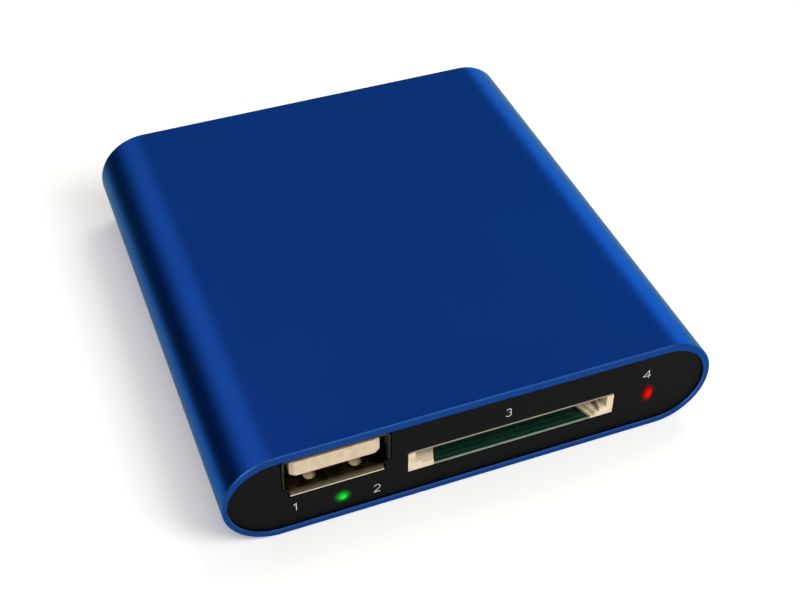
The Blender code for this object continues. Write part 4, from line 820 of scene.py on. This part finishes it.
def half_outline():
    """Right half of the shell, from the middle of its floor up to the middle of its roof:
    outer point, inner point, direction of the flare and share of it."""
    straight_x = PORT_WIDTH / 2 - PORT_CORNER
    straight_z = PORT_HEIGHT / 2 - PORT_CORNER
    points = []

    def add(x, z, normal, flare, lip_share):
        inner = (x - normal[0] * PORT_SHEET, z - normal[1] * PORT_SHEET)
        points.append(((x, z), inner, flare, lip_share))

    for step in range(FLOOR_STEPS + 1):
        add(LOWER_LIP_REACH * step / FLOOR_STEPS, -PORT_HEIGHT / 2, (0, -1), (0, -1), 1.0)
    for x, z in arc((straight_x, -straight_z), PORT_CORNER, -math.pi / 2, 0.0, CORNER_STEPS):
        normal = ((x - straight_x) / PORT_CORNER, (z + straight_z) / PORT_CORNER)
        add(x + CORNER_OUTSET, z, normal, normal, CORNER_SHARE)
    foot, knee = SIDE_LIP_FOOT
    for step in range(FOOT_STEPS + 1):
        done = step / FOOT_STEPS
        lip_share = CORNER_SHARE + (1 - CORNER_SHARE) * smooth(done)
        add(PORT_WIDTH / 2, foot + (knee - foot) * done, (1, 0), (1, 0), lip_share)
    for z in SIDE_HEIGHTS:
        add(PORT_WIDTH / 2, z, (1, 0), (1, max(z, 0.0) / straight_z), 1.0)
    for x, z in arc((straight_x, straight_z), PORT_CORNER, 0.0, math.pi / 2, CORNER_STEPS):
        normal = ((x - straight_x) / PORT_CORNER, (z - straight_z) / PORT_CORNER)
        add(x, z, normal, (1, 1), 1.0)
    for step in range(1, ROOF_STEPS + 1):
        x = straight_x * (1 - step / ROOF_STEPS)
        add(x, PORT_HEIGHT / 2, (0, 1), (x / straight_x, 1), 1.0)
    return points


def mirrored(point):
    outer, inner, flare, lip_share = point
    return (-outer[0], outer[1]), (-inner[0], inner[1]), (-flare[0], flare[1]), lip_share


right_half = half_outline()
shell_outline = right_half + [mirrored(point) for point in reversed(right_half[1:-1])]
print("points round the shell:", len(shell_outline))

# %% Make the USB shell
LIP_CURVE = 1.3
EDGE_ROUNDING = 0.15
LIP_STEPS = (0.05, 0.12, 0.22, 0.34, 0.48, 0.62, 0.78, 0.9, 1.0)
# A painted highlight: the light tone on the shell's lower front edges, below this height.
SHELL_EDGE_PAINTED_HIGHLIGHT = (232, 222, 194)
HIGHLIGHT_BELOW = 0.00303


def shell_ring(depth_share, across):
    """The outline at a share of the lip's depth, this far from the outer to the inner face."""
    ring = []
    for outer, inner, flare, lip_share in shell_outline:
        start = port_front + CORNER_SET_BACK * (1 - lip_share)
        y = start + (port_front + LIP_DEPTH - start) * depth_share
        growth = lip_share * max(1 - (y - port_front) / LIP_DEPTH, 0.0) ** LIP_CURVE
        side = LIP_SIDE + LIP_THINNED * across
        x = outer[0] + (inner[0] - outer[0]) * across + flare[0] * side * growth
        z = outer[1] + (inner[1] - outer[1]) * across + flare[1] * LIP_TOP * growth
        ring.append((port_x + x, y, port_z + z))
    return ring


def at_depth(ring, y):
    return [(x, y, z) for x, _, z in ring]


plain_outer = shell_ring(1.0, 0.0)
plain_inner = shell_ring(1.0, 1.0)
rear_y = port_front + PORT_LENGTH
rings = [at_depth(plain_outer, rear_y), at_depth(plain_outer, port_front + 2 * LIP_DEPTH)]
rings += [shell_ring(depth, 0.0) for depth in reversed(LIP_STEPS)]
rings += [shell_ring(0.0, EDGE_ROUNDING), shell_ring(0.0, 1 - EDGE_ROUNDING)]
rings += [shell_ring(depth, 1.0) for depth in LIP_STEPS]
rings += [at_depth(plain_inner, port_front + 2 * LIP_DEPTH), at_depth(plain_inner, rear_y)]
bm = bmesh.new()
add_rings(bm, rings, close=True)
shell_steel = port_steel_painted_light("shell_steel", SHELL_EDGE_PAINTED_HIGHLIGHT, port_z - HIGHLIGHT_BELOW)
port_shell = make_piece("usb_port_shell", bm, [shell_steel], sharp=50)

# %% [markdown]
# Round-ended windows in the roof and the floor leave spring fingers that grip the plug. Each
# window is a Boolean cut by its own outline: round the nose, and back round the finger.

# %% Cut the windows and add the legs
FINGER_X = 0.0029
FINGER_HALF = 0.0005
FINGER_SLOT = 0.0003
FINGER_TIP = 0.0022
WINDOW_START = 0.00125
WINDOW_BACK = 0.00775
WINDOW_ROUND_STEPS = 20
WINDOW_CUT = (-0.0004, 0.0007)
LEG_WIDTH = 0.0018
LEG_SHARES = (0.3, 0.8)
LEG_INSET = 0.00003
LEG_TAPER = (0.0003, 0.0004)


def window_outline(middle_x):
    """A window round a finger, as (x, y) points."""
    start, back = port_front + WINDOW_START, port_front + WINDOW_BACK
    slot_half = FINGER_HALF + FINGER_SLOT
    nose = arc((middle_x, start + slot_half), slot_half, math.pi, math.tau, WINDOW_ROUND_STEPS)
    tip = arc((middle_x, start + FINGER_TIP + FINGER_HALF), FINGER_HALF, math.tau, math.pi,
              WINDOW_ROUND_STEPS)
    return [(middle_x - slot_half, back), *nose, (middle_x + slot_half, back),
            (middle_x + FINGER_HALF, back), *tip, (middle_x - FINGER_HALF, back)]


def cut_away(piece, cutter, name):
    """Cut one piece out of another, and keep the cutter out of every picture."""
    cut = piece.modifiers.new(name, "BOOLEAN")
    cut.object = cutter
    cut.operation = "DIFFERENCE"
    cutter.hide_render = True
    cutter.hide_viewport = True


bm = bmesh.new()
for side in (-1, 1):
    outline = window_outline(port_x + side * FINGER_X)
    for level in (port_z - PORT_HEIGHT / 2, port_z + PORT_HEIGHT / 2 - PORT_SHEET):
        push(bm, outline, [level + rise for rise in WINDOW_CUT], 2)
cut_away(port_shell, make_piece("usb_shell_windows", bm, [shell_steel]), "windows")

bm = bmesh.new()
foot_z, ankle_z = port_low.z, port_low.z + LEG_TAPER[1]
for side in (-1, 1):
    outer_x = port_x + side * (PORT_WIDTH / 2 - LEG_INSET)
    inner_x = outer_x - side * (PORT_SHEET - 2 * LEG_INSET)
    for leg_share in LEG_SHARES:
        y = port_front + PORT_LENGTH * leg_share
        start, end = y - LEG_WIDTH / 2, y + LEG_WIDTH / 2
        leg = [(start, port_z), (start, ankle_z), (start + LEG_TAPER[0], foot_z),
               (end - LEG_TAPER[0], foot_z), (end, ankle_z), (end, port_z)]
        push(bm, leg, (outer_x, inner_x), 0)
port_legs = make_piece("usb_port_legs", bm, [tin])
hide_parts("usb_shell")
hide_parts("usb_shell")

# %% [markdown]
# ## Board lip under the card mouth
#
# Through the socket's open floor the green board shows right up to the sill. Its front edge is
# a wedge with a thin nose, which lies in the panel's opening. An outline in side view, pushed
# across, is all it takes.

# %% Lay the board's lip
NOSE_DROP = 0.00015
NOSE_SET_BACK = 0.0001
NOSE_THICKNESS = 0.00008
WEDGE_START = 0.0001
WEDGE_FOOT = 0.0003
WEDGE_LAP = 0.0006

nose_floor = socket_low.z - NOSE_DROP
nose_top = nose_floor + NOSE_THICKNESS
nose_start = socket_low.y + NOSE_SET_BACK
nose_profile = [(nose_start, nose_floor), (nose_start, nose_top),
                (board_low.y - WEDGE_START, nose_top), (board_low.y + WEDGE_LAP, board_high.z),
                (board_low.y, board_high.z), (board_low.y - WEDGE_FOOT, nose_floor)]
bm = bmesh.new()
push(bm, nose_profile, (sill_left, sill_right), 0)
make_piece("board_lip", bm, [board_green], sharp=20)

# %% [markdown]
# ## Power light
#
# The green light is a small clear pipe whose end stands a hair proud of the panel, as a dome.
# It is turned: a line of radii and depths is swung round the pipe's axis.

# %% Make the power light
LIGHT_RADIUS = 0.0006
LIGHT_DOME = 0.00018
LIGHT_FLANGE_RADIUS = 0.0010
LIGHT_FLANGE = 0.0003
TURNED_SIDES = 48
DOME_STEPS = 8


def turned_ring(middle, radius, y):
    """A circle round an axis along y."""
    angles = [math.tau * i / TURNED_SIDES for i in range(TURNED_SIDES)]
    return [(middle.x + radius * math.cos(angle), y, middle.z + radius * math.sin(angle))
            for angle in angles]


def dome_profile(radius, height, y):
    """Radii and depths of a shallow dome, from near its top down to its foot."""
    angles = [math.pi / 2 * step / DOME_STEPS for step in range(1, DOME_STEPS + 1)]
    return [(radius * math.sin(angle), y - height * math.cos(angle)) for angle in angles]


light_low, light_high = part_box("power_light_pipe")
profile = dome_profile(LIGHT_RADIUS, LIGHT_DOME, light_low.y)
profile += [(LIGHT_RADIUS, light_high.y - LIGHT_FLANGE),
            (LIGHT_FLANGE_RADIUS, light_high.y - LIGHT_FLANGE),
            (LIGHT_FLANGE_RADIUS, light_high.y)]
bm = bmesh.new()
add_rings(bm, [turned_ring(light_middle, radius, y) for radius, y in profile])
green_lens = glowing_lens("green_lens", GREEN_LIGHT, light_middle, GREEN_REACH, GREEN_FALLOFF)
power_light = make_piece("power_light", bm, [green_lens])
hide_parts("power_light_pipe")

# %% [markdown]
# ## Infrared window
#
# The window for the remote control is an upright oval of red plastic, slightly crowned. Rings
# of the same oval, each a little smaller and a little further out, make the crown.

# %% Make the infrared window
WINDOW_WIDTH = 0.0012
WINDOW_HEIGHT = 0.0021
WINDOW_CROWN = 0.00015
WINDOW_FLANGE = 0.0003
WINDOW_FLANGE_EDGE = 0.0004
WINDOW_STEPS = 16
CROWN_STEPS = 6
CROWN_NARROWING = 0.8

window_low, window_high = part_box("ir_window")


def window_ring(y, edge):
    """The oval, grown by this much."""
    outline = stadium(WINDOW_HEIGHT + 2 * edge, WINDOW_WIDTH + 2 * edge,
                      (window_middle.z, window_middle.x), WINDOW_STEPS)
    return [(x, y, z) for z, x in outline]


crown_angles = [math.pi / 2 * step / CROWN_STEPS for step in range(1, CROWN_STEPS + 1)]
rings = [window_ring(window_low.y - WINDOW_CROWN * math.cos(angle),
                     -WINDOW_WIDTH / 2 * CROWN_NARROWING * (1 - math.sin(angle)))
         for angle in crown_angles]
rings += [window_ring(window_high.y - WINDOW_FLANGE, 0.0),
          window_ring(window_high.y - WINDOW_FLANGE, WINDOW_FLANGE_EDGE),
          window_ring(window_high.y, WINDOW_FLANGE_EDGE)]
bm = bmesh.new()
add_rings(bm, rings)
# The window is no lamp; its red glow is painted light.
red_lens = glowing_lens("red_lens", RED_PAINTED_GLOW, window_middle, RED_REACH, RED_FALLOFF)
infrared_window = make_piece("infrared_window", bm, [red_lens])
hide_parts("ir_window")

# %% [markdown]
# ## Ejector spring
#
# The card ejector's spring is a coil of wire in a groove of the slider. A curve with a bevel
# depth would draw it, but it has to shorten when the slider moves, and that works on a mesh. So
# the wire is a tube of rings round the points of a helix, with closed end turns as on a real
# spring.

# %% Wind the ejector spring
SPRING_RADIUS = 0.0004
SPRING_WIRE = 0.0001
SPRING_TURNS = 11
SPRING_STEPS = 24
SPRING_SIDES = 10
CLOSE_TURNS = 0.045

spring_low, spring_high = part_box("sd_eject_spring")
spring_middle = middle_of("sd_eject_spring")


def tube(bm, points, radius, sides):
    """A round tube along a line of points."""
    rings = []
    across = None
    for index, point in enumerate(points):
        before = points[max(index - 1, 0)]
        after = points[min(index + 1, len(points) - 1)]
        along = (after - before).normalized()
        across = along.orthogonal() if across is None else across - along * across.dot(along)
        across = across.normalized()
        side = along.cross(across)
        rings.append([point + (across * math.cos(math.tau * i / sides)
                               + side * math.sin(math.tau * i / sides)) * radius
                      for i in range(sides)])
    add_rings(bm, rings)


def helix(start, end):
    """Points of the coil, with a close turn at each end."""
    count = SPRING_TURNS * SPRING_STEPS
    points = []
    for step in range(count + 1):
        turn = math.tau * step / SPRING_STEPS
        done = step / count
        along = done - CLOSE_TURNS * math.sin(math.tau * done) ** 3
        points.append(Vector((spring_middle.x + SPRING_RADIUS * math.cos(turn),
                              start + (end - start) * along,
                              spring_middle.z + SPRING_RADIUS * math.sin(turn))))
    return points


bm = bmesh.new()
tube(bm, helix(spring_low.y + SPRING_WIRE, spring_high.y - SPRING_WIRE), SPRING_WIRE,
     SPRING_SIDES)
spring = make_piece("ejector_spring", bm, [tin])
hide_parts("sd_eject_spring")
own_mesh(spring)

# %% [markdown]
# ## Rear screws
#
# Two countersunk screws hold the rear panel. Their heads have a cross recess, which is cut with
# a Boolean modifier: a tapered cross is taken out of the turned head.

# %% Make the rear screws
HEAD_RADIUS = 0.0014
HEAD_EDGE = 0.00005
SHANK_RADIUS = 0.0008
SCREW_TIP = 0.0008
RECESS_REACH = 0.0009
RECESS_HALF = 0.00016
RECESS_DEPTH = 0.0006
RECESS_TAPER = (0.45, 0.8)
CUTTER_ABOVE = 0.0002


def cross_outline(reach, half):
    """Twelve points round a cross, one arm after the other."""
    points = []
    for quarter in range(4):
        turn = Matrix.Rotation(quarter * math.pi / 2, 2)
        points += [turn @ Vector(point)
                   for point in ((half, reach), (-half, reach), (-half, half))]
    return points


def make_screw(node):
    """A countersunk screw, turned and then cut."""
    low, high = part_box(node)
    middle = middle_of(node)
    profile = [(HEAD_RADIUS - HEAD_EDGE, high.y), (HEAD_RADIUS, high.y - HEAD_EDGE),
               (SHANK_RADIUS, high.y - HEAD_RADIUS + SHANK_RADIUS),
               (SHANK_RADIUS, low.y + SCREW_TIP), (SHANK_RADIUS / 4, low.y)]
    bm = bmesh.new()
    add_rings(bm, [turned_ring(middle, radius, y) for radius, y in profile])
    screw = make_piece(f"{node}_turned", bm, [screw_steel])
    bm = bmesh.new()
    outer = cross_outline(RECESS_REACH, RECESS_HALF)
    inner = cross_outline(RECESS_REACH * RECESS_TAPER[0], RECESS_HALF * RECESS_TAPER[1])
    add_rings(bm, [[(middle.x + p.x, high.y + CUTTER_ABOVE, middle.z + p.y) for p in outer],
                   [(middle.x + p.x, high.y - RECESS_DEPTH, middle.z + p.y) for p in inner]])
    cut_away(screw, make_piece(f"{node}_recess", bm, [screw_steel]), "cross recess")
    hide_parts(node)


make_screw("rear_screw_left")
make_screw("rear_screw_right")

# %% [markdown]
# ## Printed numbers
#
# The panel carries small white marks beside its ports and lights. Plain numbers stand there.
# Text objects could give them, but printing is thin even strokes, so each number is a line that
# is widened to a ribbon and laid on the panel as a film of ink.

# %% Print the numbers on the front panel
INK_HEIGHT = 0.0013
INK_STROKE = 0.0001
INK_FILM = 0.000008
CORNER_LIMIT = 0.35
NUMBER_PLACES = {"1": (-0.0235, 0.00385), "2": (-0.0131, 0.0029), "3": (0.00415, 0.0098),
                 "4": (0.02335, 0.00945)}


def number_lines(number):
    """The strokes of a number in a box one unit high."""
    if number == "1":
        return [[(-0.2, 0.78), (0.06, 1.0), (0.06, 0.0)]]
    if number == "2":
        bowl = arc((0.0, 0.71), 0.29, math.radians(165), math.radians(-38), 16)
        return [bowl + [(-0.3, 0.0), (0.32, 0.0)]]
    if number == "3":
        upper = arc((0.0, 0.755), 0.245, math.radians(150), math.radians(-75), 14)
        lower = arc((0.0, 0.27), 0.27, math.radians(80), math.radians(-150), 16)
        return [upper + lower]
    return [[(0.2, 0.0), (0.2, 1.0), (-0.4, 0.28), (0.42, 0.28)]]


def ribbon(points, width):
    """Left and right edge points of a line that is widened evenly."""
    sides = []
    for index, point in enumerate(points):
        before = points[max(index - 1, 0)]
        after = points[min(index + 1, len(points) - 1)]
        into = (point - before).normalized() if index else (after - point).normalized()
        out = (after - point).normalized() if index < len(points) - 1 else into
        normal = (into + out).normalized().orthogonal()
        stretch = max(abs(normal.dot(into.orthogonal())), CORNER_LIMIT)
        sides.append((point + normal * width / 2 / stretch, point - normal * width / 2 / stretch))
    return sides


panel_low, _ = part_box("front_panel")
bm = bmesh.new()
for number, (x, z) in NUMBER_PLACES.items():
    for line in number_lines(number):
        points = [Vector((u, v)) * INK_HEIGHT for u, v in line]
        rings = []
        for left, right in ribbon(points, INK_STROKE):
            middle = Vector((x, z - INK_HEIGHT / 2))
            a, b = left + middle, right + middle
            rings.append([(a.x, panel_low.y, a.y), (b.x, panel_low.y, b.y),
                          (b.x, panel_low.y - INK_FILM, b.y), (a.x, panel_low.y - INK_FILM, a.y)])
        add_rings(bm, rings)

ink = grained_finish("white_ink", 0.0, (0.00006, 2.0), ((206, 210, 210), (238, 241, 241)),
                     (0.55, 0.55))
make_piece("panel_numbers", bm, [ink], sharp=30)

# %% [markdown]
# ## Floor, card and light
#
# The photograph was taken on white, lit by a broad soft light from the right, so that only a
# soft shadow on the left remains. The floor is plain white. To stay white in the picture it
# gives off a little light of its own, but only to the camera and to reflections, so that it
# lights nothing. Its shaded part still shows the shadow. A dark card stands out of view on the
# left. Photographers set one there to draw a dark line along a shiny curve.

# %% Lay the floor and stand the card
PAPER_WHITE = (0.95, 0.95, 0.95, 1.0)
FLOOR_GLOW = (1.0, 0.95, 0.85, 1.0)
FLOOR_GLOW_STRENGTH = 0.215
FLOOR_HALF = 4.0
FLOOR_Z = -0.00005
CARD_BLACK = (0.004, 0.006, 0.008, 1.0)
CARD_X = -0.052
CARD_FRONT, CARD_BACK = -0.06, 0.12
CARD_HEIGHT = 0.024


def white_floor():
    """White that also glows to the camera, in reflections and through clear things."""
    made, tree, shader = new_finish("white_floor", 0.9)
    set_inputs(shader, {"Specular IOR Level": 0.0, "Base Color": PAPER_WHITE})
    glow = tree.nodes.new("ShaderNodeEmission")
    set_inputs(glow, {"Color": FLOOR_GLOW, "Strength": FLOOR_GLOW_STRENGTH})
    rays = tree.nodes.new("ShaderNodeLightPath").outputs
    seen = rays["Is Camera Ray"]
    for kind in ("Is Glossy Ray", "Is Transmission Ray"):
        seen = maths(tree, "MAXIMUM", seen, rays[kind])
    add = tree.nodes.new("ShaderNodeAddShader")
    pick = tree.nodes.new("ShaderNodeMixShader")
    surface = tree.nodes["Material Output"].inputs["Surface"]
    for start, end in ((shader.outputs["BSDF"], add.inputs[0]),
                       (glow.outputs["Emission"], add.inputs[1]),
                       (seen, pick.inputs["Fac"]),
                       (shader.outputs["BSDF"], pick.inputs[1]),
                       (add.outputs["Shader"], pick.inputs[2]),
                       (pick.outputs["Shader"], surface)):
        tree.links.new(start, end)
    return made


def add_stage(name, corners, finish):
    """One face, in the scene but on no body of the player."""
    bm = bmesh.new()
    bm.faces.new([bm.verts.new(corner) for corner in corners])
    mesh = bpy.data.meshes.new(name)
    bm.to_mesh(mesh)
    bm.free()
    mesh.materials.append(finish)
    made = put_in_scene(name, mesh)
    return made


floor_corners = [(x * FLOOR_HALF, y * FLOOR_HALF, FLOOR_Z)
                 for x, y in ((-1, -1), (1, -1), (1, 1), (-1, 1))]
add_stage("floor", floor_corners, white_floor())

card_finish, _, card_shader = new_finish("dark_card", 0.5)
set_inputs(card_shader, {"Base Color": CARD_BLACK})
card_corners = [(CARD_X, y, z) for y, z in ((CARD_FRONT, 0.0), (CARD_BACK, 0.0),
                                            (CARD_BACK, CARD_HEIGHT), (CARD_FRONT, CARD_HEIGHT))]
card = add_stage("dark_card", card_corners, card_finish)
card.visible_camera = False
card.visible_diffuse = False
card.visible_shadow = False

# %% [markdown]
# The lamps come in two kinds. Two keys and a fill light the floor, the panel and the plastics,
# but they are kept out of reflections, because they would leave a glaring patch on the satin
# metal in some views. Four strips are the other way round: they show only as reflections. A
# cool one on the right and a warm one above the left draw the bands along the rounded sides.
# Two weak ones in front draw the light line on the chamfer.

# %% Light the scene
WORLD_COLOUR = (0.99, 0.965, 0.955, 1.0)
WORLD_STRENGTH = 0.385
ORIGIN = (0.0, 0.0, 0.0)
KEYS = {"key_front": ((0.42, -0.5, 0.6), ORIGIN, 0.4, 0.4, 3.8),
        "key_rear": ((0.42, 0.36, 0.75), ORIGIN, 0.4, 0.4, 1.4),
        "front_fill": ((-0.05, -0.48, 0.82), ORIGIN, 0.6, 0.4, 1.9)}
STRIPS = {"right_strip": ((0.8, 0.9, 0.26), (0.0, 0.9, 0.26), 0.56, 1.6, 3.2),
          "top_left_strip": ((-0.396, 0.8, 0.824), (0.0, 0.8, 0.0), 0.7, 1.8, 2.5),
          "edge_strip": ((-0.62, -0.62, 0.3), ORIGIN, 0.4, 0.5, 2.2),
          "front_strip": ((0.26, -0.68, 0.68), ORIGIN, 0.5, 0.4, 0.95)}
STRIP_TINTS = {"right_strip": (0.66, 0.94, 1.0), "top_left_strip": (1.0, 0.74, 0.6)}

world = bpy.data.worlds.new("studio")
world.use_nodes = True
set_inputs(world.node_tree.nodes["Background"],
           {"Color": WORLD_COLOUR, "Strength": WORLD_STRENGTH})
bpy.context.scene.world = world


def soft_lamp(name, place, target, width, length, power):
    """A rectangular lamp at a place, facing a target, its length along the player."""
    lamp = put_in_scene(name, bpy.data.lights.new(name, "AREA"))
    lamp.data.shape = "RECTANGLE"
    lamp.data.size = width
    lamp.data.size_y = length
    lamp.data.energy = power
    back = (Vector(place) - Vector(target)).normalized()
    across = Vector((0.0, 1.0, 0.0)).cross(back).normalized()
    along = back.cross(across)
    lamp.matrix_world = (Matrix.Translation(place)
                         @ Matrix((across, along, back)).transposed().to_4x4())
    return lamp


for name, layout in KEYS.items():
    soft_lamp(name, *layout).visible_glossy = False
for name, layout in STRIPS.items():
    strip = soft_lamp(name, *layout)
    strip.visible_diffuse = False
    if name in STRIP_TINTS:
        strip.data.color = STRIP_TINTS[name]
